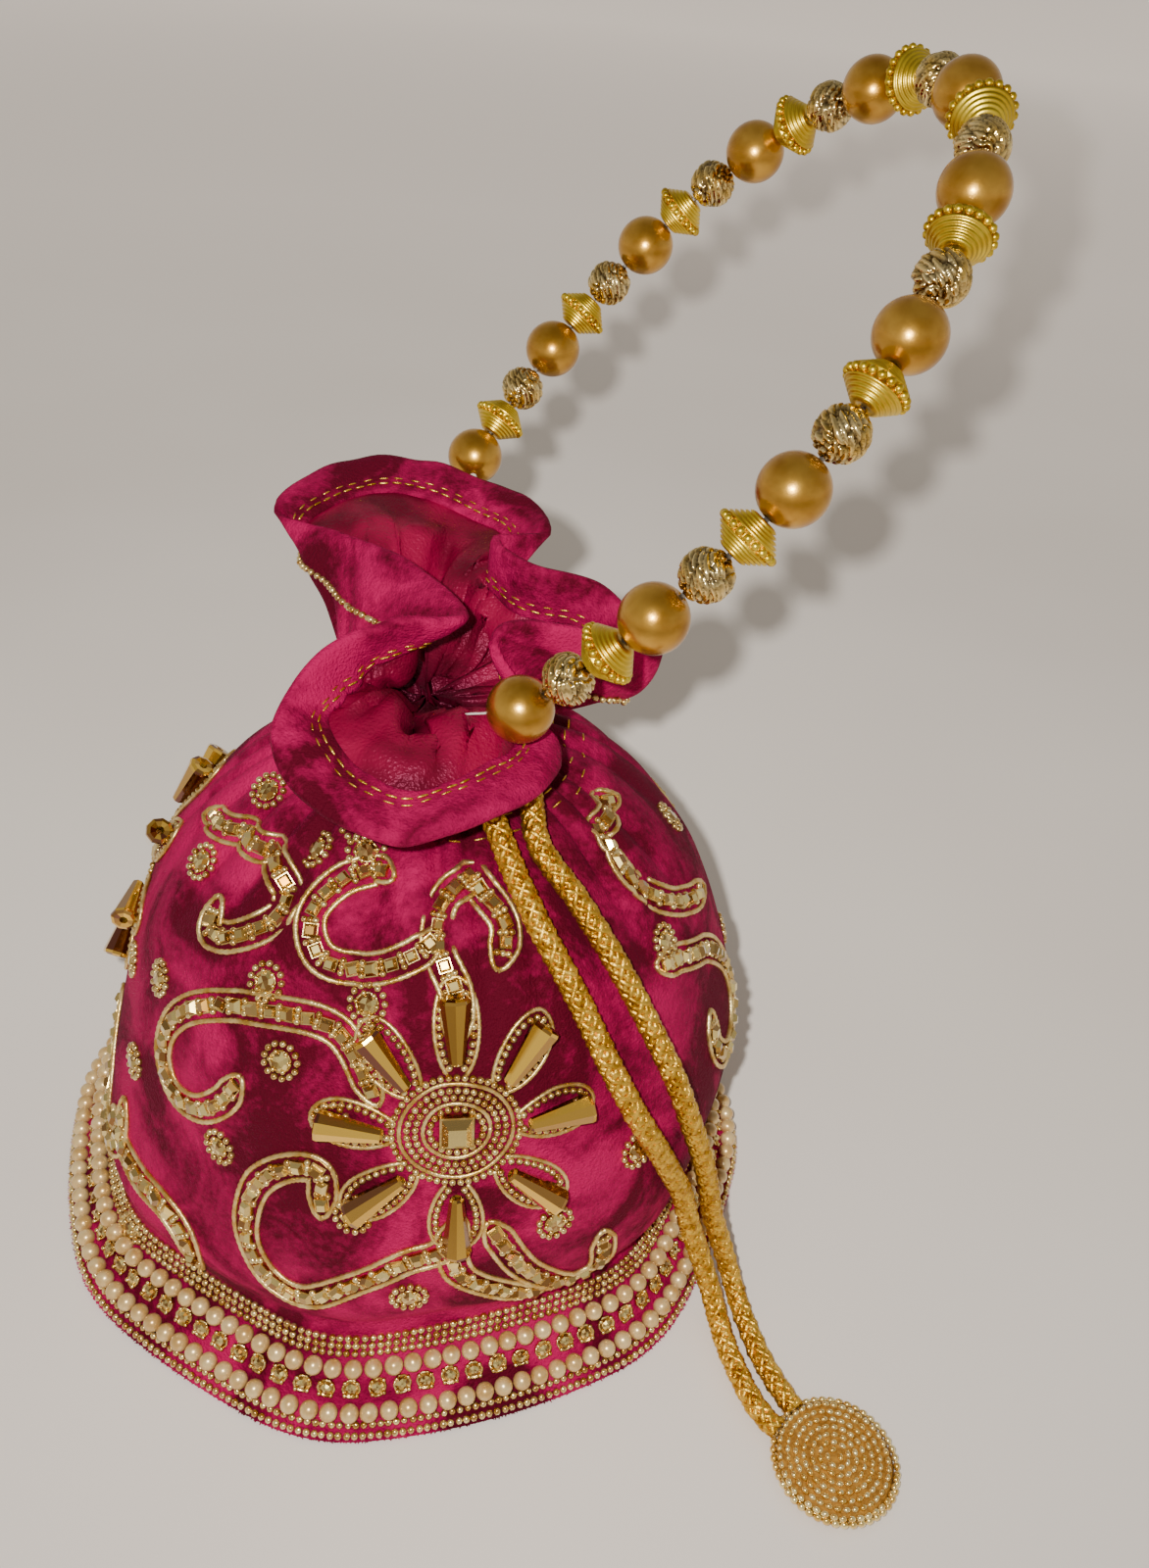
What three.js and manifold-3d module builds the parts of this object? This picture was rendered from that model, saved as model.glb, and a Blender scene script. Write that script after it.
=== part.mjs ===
// A velvet potli: a round drawstring pouch on a stiff base, with a ruffled mouth, a handle of strung beads,
// a braided drawcord that ends in a flat beaded tassel, and raised gold embroidery.
// Millimetres, +Z up. The origin is the centre of the underside and the front faces -Y.
// Angles round the pouch are in degrees from the front, growing to the right, towards +X.
import * as THREE from 'three';
import { mergeVertices } from 'three/addons/utils/BufferGeometryUtils.js';
import Module from 'manifold-3d';

// Pouch body
const footRadius = 80;
const bandTopRadius = 68;
const bandTopHeight = 16.5;
const creaseInset = 0.8;
const creaseRise = 4;
const bellyRadius = 69.5;
const bellyHeight = 45;
const bellyShift = 4.5;
const shoulderRadius = 57;
const shoulderHeight = 85;
const collarRadius = 38;
const collarHeight = 108.5;
const neckRadius = 20.5;
const neckHeight = 118.5;
const neckShift = 4;
const channelWidth = 5;
const velvetThickness = 1.2;
const satinThickness = 0.6;
const boardThickness = 2;
const clothGap = 0.3;
const liningSlack = 1.3;

// Gathers and ruffle
const gatherCount = 12;
const samplesPerGather = 4;
const neckGatherDepth = 0.8;
const shoulderGatherDepth = 2.2;
const ruffleGatherDepth = 1.2;
const ruffleLift = 12;
const ruffleFollow = 0.15;
const frontSample = 9;

// Base band, with its rows placed up the slope from the foot
const lowerSeedRise = 2.1;
const lowerPearlRise = 5.8;
const stoneRise = 10.4;
const upperPearlRise = 15;
const upperSeedRise = 18.7;
const basePearlDiameter = 4;
const seedRowWidth = 2.6;
const seedRowHeight = 1.3;
const stoneRowWidth = 3.6;
const stoneRowHeight = 2.2;
const basePearlPitch = 4.1;

// Handle
const pearlDiameter = 12;
const filigreeDiameter = 9.6;
const biconeDiameter = 12;
const biconeLength = 7.4;
const biconeRimWidth = 1.8;
const biconeNeckRadius = 2.2;
const boreRadius = 0.9;
const wireRadius = 0.5;
const beadGap = 0.35;
const beadRepeats = 10;
const handleLean = 42;
const archTurns = [98, 84, 65, 45, 25, -18, -51, -80, -98, -114];
const anchorThreadRadius = 0.8;

// Drawcord and tassel
const cordDiameter = 4.6;
const channelCordDiameter = 3.2;
const tasselDiameter = 27;
const tasselThickness = 3.8;
const tasselRight = 98.3;
const tasselFront = 76;

// Embroidery
const stitchLift = 0.45;
const ridgeWidth = 5;
const ridgeHeight = 1.1;
const flowerAngle = 12;
const flowerHeight = 72.5;
const petalCount = 8;
const petalStart = 8;
const petalNotch = 17;
const petalReach = 26;
const petalEdge = 1.2;
const flowerStoneDiameter = 7;
const flowerStoneHeight = 2.5;
const coneLength = 11;
const coneTipDiameter = 2.4;
const coneFootDiameter = 5;
const coneReach = 18.5;

// Materials
const cloth = (color) => new THREE.MeshStandardMaterial({ color, roughness: 0.85, metalness: 0 });
const gilt = (color, roughness) => new THREE.MeshStandardMaterial({ color, roughness, metalness: 1 });
const velvet = cloth('#a3124f');
const satin = new THREE.MeshStandardMaterial({ color: '#b3175c', roughness: 0.4, metalness: 0 });
const card = cloth('#b9a58a');
const threadWhite = cloth('#e8dfd2');
const copperPearl = new THREE.MeshStandardMaterial({ color: '#b8862d', roughness: 0.3, metalness: 0.5 });
const creamPearl = new THREE.MeshStandardMaterial({ color: '#e6cf9f', roughness: 0.35, metalness: 0 });
const mirrorGold = gilt('#c9a76a', 0.12);
const yellowGold = gilt('#d9b62b', 0.35);
const steelWire = gilt('#a8a39a', 0.4);
const seedGold = gilt('#b89a5a', 0.4);
const stoneGold = new THREE.MeshStandardMaterial({ color: '#c89b3c', roughness: 0.15, metalness: 0.6 });
const glassGold = new THREE.MeshStandardMaterial({ color: '#b97a1e', roughness: 0.1, metalness: 0.7 });
const braidGold = gilt('#c8962a', 0.45);

const model = new THREE.Group();

function addPiece(name, geometry, material) {
  const piece = new THREE.Mesh(geometry, material);
  piece.name = name;
  model.add(piece);
  return piece;
}

const radians = THREE.MathUtils.degToRad;
const up = new THREE.Vector3(0, 0, 1);

// Outward direction at an angle from the front
function outward(angle) {
  return new THREE.Vector3(Math.sin(radians(angle)), -Math.cos(radians(angle)), 0);
}

// A closed body from a row of loops with the same number of points, each loop joined to the next.
// An open row is capped with a fan at both ends; a closed row joins its last loop to its first.
function sweep(loops, closed = false) {
  const perLoop = loops[0].length;
  const vertices = loops.flat();
  const faces = [];
  const spans = closed ? loops.length : loops.length - 1;
  for (let row = 0; row < spans; row++) {
    const here = row * perLoop;
    const next = ((row + 1) % loops.length) * perLoop;
    for (let k = 0; k < perLoop; k++) {
      const k2 = (k + 1) % perLoop;
      faces.push(here + k, here + k2, next + k2);
      faces.push(here + k, next + k2, next + k);
    }
  }
  if (!closed) {
    const capEnd = (loop, first, flip) => {
      const middle = new THREE.Vector3();
      loop.forEach((p) => middle.add(p));
      vertices.push(middle.divideScalar(perLoop));
      for (let k = 0; k < perLoop; k++) {
        const pair = [first + k, first + ((k + 1) % perLoop)];
        if (flip) pair.reverse();
        faces.push(vertices.length - 1, pair[1], pair[0]);
      }
    };
    capEnd(loops[0], 0, false);
    capEnd(loops[loops.length - 1], (loops.length - 1) * perLoop, true);
  }
  const geometry = new THREE.BufferGeometry();
  const flat = vertices.flatMap((p) => [p.x, p.y, p.z]);
  geometry.setAttribute('position', new THREE.Float32BufferAttribute(flat, 3));
  geometry.setIndex(faces);
  geometry.computeVertexNormals();
  return geometry;
}

// Outline of the pouch above the base band: x is the radius, y the sideways shift and z the height
const creaseRadius = bandTopRadius - creaseInset;
const bodyLine = new THREE.CatmullRomCurve3([
  new THREE.Vector3(creaseRadius, 0, bandTopHeight + creaseRise),
  new THREE.Vector3(bellyRadius, bellyShift, bellyHeight),
  new THREE.Vector3(shoulderRadius, bellyShift, shoulderHeight),
  new THREE.Vector3(collarRadius, neckShift, collarHeight),
  new THREE.Vector3(neckRadius, neckShift, neckHeight),
], false, 'catmullrom');
const lineSteps = 200;
const lineSamples = bodyLine.getPoints(lineSteps);

// Radius and shift of the smooth body at a height, with the slope of its side
function bodyAt(height) {
  let k = 0;
  while (k < lineSteps - 1 && lineSamples[k + 1].z < height) k++;
  const below = lineSamples[k];
  const above = lineSamples[k + 1];
  const part = (height - below.z) / (above.z - below.z);
  const slope = new THREE.Vector2(above.x - below.x, above.z - below.z).normalize();
  return {
    radius: THREE.MathUtils.lerp(below.x, above.x, part),
    shift: THREE.MathUtils.lerp(below.y, above.y, part),
    slope,
  };
}

// Point on the smooth body at an angle and a height, lifted off the velvet, with its local directions
function onBody(angle, height, lift) {
  const { radius, shift, slope } = bodyAt(height);
  const out = outward(angle);
  const normal = out.clone().multiplyScalar(slope.y).addScaledVector(up, -slope.x);
  const point = out.clone().multiplyScalar(radius).addScaledVector(up, height);
  point.x += shift;
  point.addScaledVector(normal, lift);
  return { point, normal };
}

// Rim of the ruffle as it lies when the mouth is drawn shut, from the neck's centre at channel height:
// [to the right, to the back, up]. Folded points turn inwards and leave three lobes between them.
const rimPoints = [
  [5, -7, 27],
  [-7, -13, 28],
  [-18.5, -22, 24],
  [-24, -33, 15.5],
  [-17, -43, 9],
  [-2, -49.5, 6],
  [11, -44, 6.5],
  [23, -31, 7.5],
  [24.5, -16, 10.5],
  [12, -11, 25],
  [23, -7, 26],
  [35, -3, 22],
  [42, 3, 18],
  [30, 15, 24.5],
  [16, 16, 27],
  [9, 23.5, 28.5],
  [18, 31.5, 27],
  [13, 45, 27],
  [-1, 55, 27],
  [-18, 55, 30],
  [-32, 48, 28.5],
  [-39.5, 33, 25.5],
  [-25, 22, 27],
  [-8, 8, 29],
];
const channelMiddle = neckHeight + channelWidth / 2;
const rimLine = new THREE.CatmullRomCurve3(
  rimPoints.map(([right, back, rise]) => new THREE.Vector3(neckShift + right, back, channelMiddle + rise)),
  true,
  'catmullrom',
);

const loopCount = gatherCount * samplesPerGather;
const sampleAngle = (i) => ((i - frontSample) * 360) / loopCount;

function roundLoop(radius, shift, height) {
  return Array.from({ length: loopCount }, (_, i) => {
    const point = outward(sampleAngle(i)).multiplyScalar(radius);
    return point.add(new THREE.Vector3(shift, 0, height));
  });
}

// Rows of the cloth from the foot to the rim, each with the depth of its gathers
const clothRows = [
  { name: 'foot', loop: roundLoop(footRadius, 0, 0), gather: 0 },
  { name: 'bandTop', loop: roundLoop(bandTopRadius, 0, bandTopHeight), gather: 0 },
];
const bodyRowCount = 8;
for (let row = 0; row <= bodyRowCount; row++) {
  const part = row / bodyRowCount;
  const { x, y, z } = bodyLine.getPoint(part);
  const towardsNeck = THREE.MathUtils.clamp((part - 0.5) / 0.25, 0, 1);
  const atNeck = row === bodyRowCount;
  clothRows.push({
    name: `body${row}`,
    loop: roundLoop(x, y, z),
    gather: atNeck ? neckGatherDepth : shoulderGatherDepth * towardsNeck,
    upright: atNeck,
  });
}
const channelTop = roundLoop(neckRadius, neckShift, neckHeight + channelWidth);
clothRows.push({ name: 'channelTop', loop: channelTop, gather: neckGatherDepth, upright: true });
const ruffleRowCount = 4;
for (let row = 1; row <= ruffleRowCount; row++) {
  const part = row / ruffleRowCount;
  const loop = channelTop.map((start, i) => {
    const end = rimLine.getPoint(i / loopCount);
    const bend = start.clone().addScaledVector(up, ruffleLift);
    bend.x += (end.x - start.x) * ruffleFollow;
    bend.y += (end.y - start.y) * ruffleFollow;
    return new THREE.QuadraticBezierCurve3(start, bend, end).getPoint(part);
  });
  clothRows.push({ name: `ruffle${row}`, loop, gather: ruffleGatherDepth * (1 - part) });
}

// Way out of the cloth at a sample of a row
function clothNormal(row, i) {
  if (clothRows[row].upright) return outward(sampleAngle(i));
  const { loop } = clothRows[row];
  const around = loop[(i + 1) % loopCount].clone().sub(loop[(i + loopCount - 1) % loopCount]);
  const above = clothRows[Math.min(row + 1, clothRows.length - 1)].loop[i];
  const below = clothRows[Math.max(row - 1, 0)].loop[i];
  return around.cross(above.clone().sub(below)).normalize();
}

// A row of the cloth moved inwards by a depth, with its gathers
function clothLoop(row, depth) {
  return clothRows[row].loop.map((point, i) => {
    const fold = (1 - Math.cos((2 * Math.PI * i) / samplesPerGather)) / 2;
    const inwards = clothRows[row].gather * fold + depth;
    return point.clone().addScaledVector(clothNormal(row, i), -inwards);
  });
}

const rowNumber = (name) => clothRows.findIndex((row) => row.name === name);
const rimRow = clothRows.length - 1;
const sideSlope = Math.hypot(bandTopHeight, footRadius - bandTopRadius) / bandTopHeight;
const bandRadiusAt = (height) => footRadius - ((footRadius - bandTopRadius) * height) / bandTopHeight;
const innerBandRadius = (height) => bandRadiusAt(height) - velvetThickness * sideSlope;

// Velvet: the outside of the pouch, from the underside up to the rim and back down inside
function velvetShell() {
  const loops = [];
  for (let row = 0; row <= rimRow; row++) loops.push(clothLoop(row, 0));
  for (let row = rimRow; row > 1; row--) loops.push(clothLoop(row, velvetThickness));
  loops[0] = clothRows[0].loop;
  loops[1] = clothRows[1].loop;
  loops.push(roundLoop(innerBandRadius(bandTopHeight), 0, bandTopHeight));
  loops.push(roundLoop(innerBandRadius(velvetThickness), 0, velvetThickness));
  return sweep(loops);
}
addPiece('velvet_shell', velvetShell(), velvet);

// Stiff board that spreads the base
const boardBottom = velvetThickness + clothGap;
const boardTop = boardBottom + boardThickness;
const board = new THREE.CylinderGeometry(
  innerBandRadius(boardTop) - clothGap,
  innerBandRadius(boardTop) - clothGap,
  boardThickness,
  loopCount,
);
board.rotateX(Math.PI / 2);
board.translate(0, 0, boardBottom + boardThickness / 2);
addPiece('base_board', board, card);

// Satin lining: a loose sack inside the velvet that ends under the velvet's turned-in border
const satinDepth = velvetThickness + liningSlack;
const channelSatinDepth = neckGatherDepth + velvetThickness + channelCordDiameter + 3 * clothGap;
const satinRows = ['body0', 'body2', 'body4', 'body5', 'body6', 'body7', 'body8', 'channelTop'];
satinRows.push('ruffle1', 'ruffle2', 'ruffle3');
const satinRowDepth = (name) => (clothRows[rowNumber(name)].upright ? channelSatinDepth : satinDepth);
const satinFloor = boardTop + clothGap;
const satinFloorRadius = creaseRadius - satinDepth - clothGap;

function satinLining() {
  const loops = [roundLoop(satinFloorRadius, 0, satinFloor)];
  satinRows.forEach((name) => loops.push(clothLoop(rowNumber(name), satinRowDepth(name))));
  [...satinRows].reverse().forEach((name) => {
    loops.push(clothLoop(rowNumber(name), satinRowDepth(name) + satinThickness));
  });
  loops.push(roundLoop(satinFloorRadius - satinThickness, 0, satinFloor + satinThickness));
  return sweep(loops);
}
addPiece('satin_lining', satinLining(), satin);

// Drawcord inside its channel between the velvet and the lining
const channelCordRadius = neckRadius - neckGatherDepth - velvetThickness - clothGap - channelCordDiameter / 2;
const channelCord = new THREE.TorusGeometry(channelCordRadius, channelCordDiameter / 2, 6, 36);
channelCord.translate(neckShift, 0, channelMiddle);
addPiece('channel_cord', channelCord, braidGold);

// Base band: five rows that run round the sloping foot
const slopeLength = Math.hypot(bandTopHeight, footRadius - bandTopRadius);
const slopeIn = (footRadius - bandTopRadius) / slopeLength;
const slopeUp = bandTopHeight / slopeLength;

// A ring on the slope with a three-sided section whose half width and height may change round it
function bandRow(rise, stations, sectionAt) {
  const loops = [];
  for (let k = 0; k < stations; k++) {
    const { halfWidth, height } = sectionAt(k);
    const out = outward((k * 360) / stations);
    const place = (along, off) => {
      const radius = footRadius - along * slopeIn + off * slopeUp;
      return out.clone().multiplyScalar(radius).setZ(along * slopeUp + off * slopeIn);
    };
    loops.push([
      place(rise - halfWidth, clothGap),
      place(rise + halfWidth, clothGap),
      place(rise, clothGap + height),
    ]);
  }
  return sweep(loops, true);
}

// Pearls strung in a row: full at each pearl and drawn in to the thread between two
function pearlRow(rise) {
  const pearls = Math.round((2 * Math.PI * (footRadius - rise * slopeIn)) / basePearlPitch);
  return bandRow(rise, pearls * 2, (k) => ({
    halfWidth: (k % 2 ? 0.2 : 0.5) * basePearlDiameter,
    height: (k % 2 ? 0.35 : 1) * basePearlDiameter,
  }));
}
const plainRow = (rise, width, height) => bandRow(rise, loopCount, () => ({ halfWidth: width / 2, height }));
addPiece('seed_rows_lower', plainRow(lowerSeedRise, seedRowWidth, seedRowHeight), seedGold);
addPiece('pearl_row_lower', pearlRow(lowerPearlRise), creamPearl);
addPiece('stone_row', plainRow(stoneRise, stoneRowWidth, stoneRowHeight), stoneGold);
addPiece('pearl_row_upper', pearlRow(upperPearlRise), creamPearl);
addPiece('seed_rows_upper', plainRow(upperSeedRise, seedRowWidth, seedRowHeight), seedGold);

// Handle: the end pearls' centres are the pivots, one at the front lobe and one behind the back rim.
// Both are set from the neck's centre at channel height: [to the right, to the back, up].
const frontPivotOffset = [17.5, -25.5, 19.5];
const backPivotOffset = [-1.5, 62, 30.5];
const fromNeck = ([right, back, rise]) => new THREE.Vector3(neckShift + right, back, channelMiddle + rise);
const frontPivot = fromNeck(frontPivotOffset);
const backPivot = fromNeck(backPivotOffset);
const pivotLine = backPivot.clone().sub(frontPivot);
const handleSpan = pivotLine.length();
const alongSpan = pivotLine.clone().normalize();
const spanUp = up.clone().addScaledVector(alongSpan, -alongSpan.dot(up)).normalize();
const spanRight = alongSpan.clone().cross(spanUp);
const archUp = spanUp
  .clone()
  .multiplyScalar(Math.cos(radians(handleLean)))
  .addScaledVector(spanRight, Math.sin(radians(handleLean)));

const beadKinds = ['pearl'];
for (let k = 0; k < beadRepeats; k++) beadKinds.push('filigree', 'bicone', 'pearl');
const boreShortening = (diameter) => diameter - Math.sqrt(diameter ** 2 - (2 * boreRadius) ** 2);
const beadLengths = {
  pearl: pearlDiameter - boreShortening(pearlDiameter),
  filigree: filigreeDiameter - boreShortening(filigreeDiameter),
  bicone: biconeLength,
};

// The arch's direction at a share of its length, from the turns of its stretches between two pearls
function turnAt(share) {
  const last = archTurns.length - 1;
  const place = THREE.MathUtils.clamp(share * archTurns.length - 0.5, 0, last);
  const before = Math.min(Math.floor(place), last - 1);
  return THREE.MathUtils.lerp(archTurns[before], archTurns[before + 1], place - before);
}

// Joints between the beads of an arch with its turns made fuller or shallower
function archJoints(fullness) {
  const pitches = beadKinds.map((kind) => beadLengths[kind] + beadGap);
  const total = pitches.reduce((sum, pitch) => sum + pitch, 0);
  const joints = [new THREE.Vector2(0, 0)];
  let passed = 0;
  pitches.forEach((pitch) => {
    const turn = radians(fullness * turnAt((passed + pitch / 2) / total));
    const step = new THREE.Vector2(Math.cos(turn), Math.sin(turn)).multiplyScalar(pitch);
    joints.push(joints[joints.length - 1].clone().add(step));
    passed += pitch;
  });
  return joints;
}

const middleOf = (a, b) => a.clone().add(b).multiplyScalar(0.5);
function archSpan(joints) {
  const first = middleOf(joints[0], joints[1]);
  const last = middleOf(joints[joints.length - 2], joints[joints.length - 1]);
  return { first, vector: last.sub(first) };
}

// The fullness that brings the arch's feet to the two pivots
let shallow = 0.7;
let full = 1.3;
for (let k = 0; k < 40; k++) {
  const middle = (shallow + full) / 2;
  if (archSpan(archJoints(middle)).vector.length() > handleSpan) shallow = middle;
  else full = middle;
}
const flatJoints = archJoints(full);
const flatSpan = archSpan(flatJoints);
const tilt = flatSpan.vector.angle();
const handleJoints = flatJoints.map((joint) => {
  const local = joint.clone().sub(flatSpan.first).rotateAround(new THREE.Vector2(), -tilt);
  return frontPivot.clone().addScaledVector(alongSpan, local.x).addScaledVector(archUp, local.y);
});

// Bead outlines turned about the bore: x is the radius and y the place along the bore
const beadFacets = 8;
function roundBead(diameter, length) {
  const outer = diameter / 2;
  const half = length / 2;
  const quarter = outer * Math.SQRT1_2;
  const outline = [[boreRadius, -half], [quarter, -quarter], [outer, 0], [quarter, quarter], [boreRadius, half]];
  return turned(outline);
}

function biconeBead() {
  const half = biconeLength / 2;
  const rim = biconeDiameter / 2;
  const outline = [
    [boreRadius, -half],
    [biconeNeckRadius, -half],
    [rim - biconeRimWidth / 2, -biconeRimWidth / 2],
    [rim, 0],
    [rim - biconeRimWidth / 2, biconeRimWidth / 2],
    [biconeNeckRadius, half],
    [boreRadius, half],
  ];
  return turned(outline);
}

function turned(outline) {
  const points = outline.map(([x, y]) => new THREE.Vector2(x, y));
  points.push(points[0].clone());
  return new THREE.LatheGeometry(points, beadFacets);
}

const beadStyles = {
  pearl: { geometry: roundBead(pearlDiameter, beadLengths.pearl), material: copperPearl },
  filigree: { geometry: roundBead(filigreeDiameter, beadLengths.filigree), material: mirrorGold },
  bicone: { geometry: biconeBead(), material: yellowGold },
};
const lathAxis = new THREE.Vector3(0, 1, 0);
const beadNumbers = { pearl: 0, filigree: 0, bicone: 0 };
beadKinds.forEach((kind, k) => {
  beadNumbers[kind] += 1;
  const { geometry, material } = beadStyles[kind];
  const number = String(beadNumbers[kind]).padStart(2, '0');
  const bead = addPiece(`${kind}_bead_${number}`, geometry, material);
  bead.position.copy(middleOf(handleJoints[k], handleJoints[k + 1]));
  const along = handleJoints[k + 1].clone().sub(handleJoints[k]).normalize();
  bead.quaternion.setFromUnitVectors(lathAxis, along);
});

// Wire through the beads, bent only in the gaps between them
const wireSides = 5;
const wireLoops = handleJoints.map((joint, k) => {
  const before = handleJoints[Math.max(k - 1, 0)];
  const after = handleJoints[Math.min(k + 1, handleJoints.length - 1)];
  const along = after.clone().sub(before).normalize();
  const side = along.clone().cross(pivotPlaneNormal()).normalize();
  const across = along.clone().cross(side);
  return Array.from({ length: wireSides }, (_, s) => {
    const turn = (2 * Math.PI * s) / wireSides;
    const point = joint.clone().addScaledVector(side, wireRadius * Math.cos(turn));
    return point.addScaledVector(across, wireRadius * Math.sin(turn));
  });
});
function pivotPlaneNormal() {
  return alongSpan.clone().cross(archUp);
}
addPiece('handle_wire', sweep(wireLoops), steelWire);

// Thread stalks that hold the end pearls to the cloth, each from just off the cloth to just off its pearl
function anchorThread(name, seat, pivot) {
  const towards = pivot.clone().sub(seat);
  const seatGap = clothGap + anchorThreadRadius / 2;
  const length = towards.length() - pearlDiameter / 2 - clothGap - seatGap;
  towards.normalize();
  const stalk = new THREE.CylinderGeometry(anchorThreadRadius, anchorThreadRadius, length, 8);
  stalk.translate(0, length / 2 + seatGap, 0);
  const piece = addPiece(name, stalk, threadWhite);
  piece.position.copy(seat);
  piece.quaternion.setFromUnitVectors(lathAxis, towards);
}
const frontAnchorSample = 17;
const backAnchorSample = 36;
const liningInside = clothLoop(rowNumber('ruffle3'), satinDepth + satinThickness);
const rimMiddle = clothLoop(rimRow, velvetThickness / 2);
anchorThread('front_anchor_thread', liningInside[frontAnchorSample], frontPivot);
anchorThread('back_anchor_thread', rimMiddle[backAnchorSample], backPivot);

// Free ends of the drawcord: out of the channel, down over the belly and on to the table
const cordRoutes = {
  cord_tail_left: [
    [15.5, -17.9, 121.3],
    [16.7, -21.4, 121.1],
    [17.3, -25.9, 119],
    [19.8, -30.1, 115.8],
    [23.1, -34.7, 111.5],
    [28.7, -40.9, 104.6],
    [36.4, -46.2, 94],
    [42.9, -49.6, 82.8],
    [49.5, -51.4, 70.9],
    [54.8, -50.4, 60.6],
    [59, -47.6, 50],
    [62.6, -44.6, 40],
    [65.6, -43.6, 29],
    [69.3, -44, 19],
    [72.6, -45.3, 10],
    [75, -48.5, 4.4],
    [76.8, -53.5, 2.7],
    [79.6, -60.8, 2.7],
    [82.4, -66.4, 2.7],
    [84.9, -69.6, 2.7],
  ],
  cord_tail_right: [
    [19.6, -14.4, 121.3],
    [22.2, -17, 121],
    [24.2, -20.6, 118.8],
    [26.9, -28.4, 113.5],
    [34.9, -34.3, 106.4],
    [43.3, -38.9, 96],
    [49.8, -41.4, 85.6],
    [56.9, -43.4, 72.5],
    [61.4, -43.4, 61],
    [65.4, -41.6, 49],
    [68.3, -39.6, 38],
    [70.8, -38.4, 27],
    [74.2, -38.2, 17],
    [77.2, -39, 8.6],
    [79.6, -42.4, 3.7],
    [81.4, -47.5, 2.7],
    [84, -55, 2.7],
    [87, -61, 2.7],
    [89.2, -64.4, 2.7],
  ],
};
const cordSides = 8;
const cordStep = 9;
Object.entries(cordRoutes).forEach(([name, points]) => {
  const route = new THREE.CatmullRomCurve3(points.map((p) => new THREE.Vector3(...p)), false, 'centripetal');
  const section = new THREE.Shape();
  for (let s = 0; s < cordSides; s++) {
    const turn = (2 * Math.PI * (s + 0.5)) / cordSides;
    const corner = [(cordDiameter / 2) * Math.cos(turn), (cordDiameter / 2) * Math.sin(turn)];
    if (s === 0) section.moveTo(...corner);
    else section.lineTo(...corner);
  }
  const steps = Math.round(route.getLength() / cordStep);
  const tube = new THREE.ExtrudeGeometry(section, { steps, extrudePath: route, bevelEnabled: false });
  addPiece(name, tube, braidGold);
});

// Tassel: a flat disc of coiled beads, domed a little on both faces
const tasselRadius = tasselDiameter / 2;
const tasselEdge = 1.4;
const tasselOutline = [
  [0, 0],
  [tasselRadius - tasselEdge, 0],
  [tasselRadius, tasselThickness / 2],
  [tasselRadius - tasselEdge, tasselThickness - tasselEdge / 2],
  [0, tasselThickness],
].map(([x, y]) => new THREE.Vector2(x, y));
const tassel = new THREE.LatheGeometry(tasselOutline, 24);
tassel.rotateX(Math.PI / 2);
tassel.translate(tasselRight, -tasselFront, 0);
addPiece('bead_tassel', tassel, seedGold);

// Embroidery. A ridge of couched cord and stones follows a line on the body, given as [angle, height].
function ridge(line) {
  const loops = line.map((here, k) => {
    const { point, normal } = onBody(...here, stitchLift);
    const before = onBody(...line[Math.max(k - 1, 0)], stitchLift).point;
    const after = onBody(...line[Math.min(k + 1, line.length - 1)], stitchLift).point;
    const across = after.sub(before).cross(normal).normalize();
    const low = (side) => point.clone().addScaledVector(across, (side * ridgeWidth) / 2);
    const high = (side) => low(side * 0.7).addScaledVector(normal, ridgeHeight);
    return [low(-1), high(-1), high(1), low(1)];
  });
  return sweep(loops);
}

// A ridge along a smooth line through hand-placed points
function scroll(points) {
  const line = new THREE.CatmullRomCurve3(
    points.map(([angle, height]) => new THREE.Vector3(angle, height, 0)),
    false,
    'centripetal',
  );
  return ridge(line.getSpacedPoints(points.length + 1).map((p) => [p.x, p.y]));
}

// A place on the flower, from its centre in millimetres to the right and up the belly
const flowerBody = bodyAt(flowerHeight);
function onFlower(right, rise) {
  const angle = flowerAngle + THREE.MathUtils.radToDeg(right / flowerBody.radius);
  return [angle, flowerHeight + rise * flowerBody.slope.y];
}
const petalTurn = (k) => (2 * Math.PI * k) / petalCount;
const onPetal = (k, reach) => onFlower(reach * Math.cos(petalTurn(k)), reach * Math.sin(petalTurn(k)));

// The petals as one ring round the flower's middle: full at each petal and drawn in between two
function flowerPetals() {
  const stations = petalCount * 4;
  const loops = [];
  for (let k = 0; k < stations; k++) {
    const turn = (2 * Math.PI * k) / stations;
    const fullness = (1 + Math.cos(petalCount * turn)) / 2;
    const reach = THREE.MathUtils.lerp(petalNotch, petalReach, fullness);
    const middle = (petalStart + reach) / 2;
    const top = stitchLift + ridgeHeight;
    const place = (distance, lift) => {
      const [angle, height] = onFlower(distance * Math.cos(turn), distance * Math.sin(turn));
      return onBody(angle, height, lift).point;
    };
    loops.push([
      place(petalStart, stitchLift),
      place(petalStart + petalEdge, top),
      place(middle, top),
      place(reach - petalEdge, top),
      place(reach, stitchLift),
      place(middle, stitchLift),
    ]);
  }
  return sweep(loops, true);
}

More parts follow.
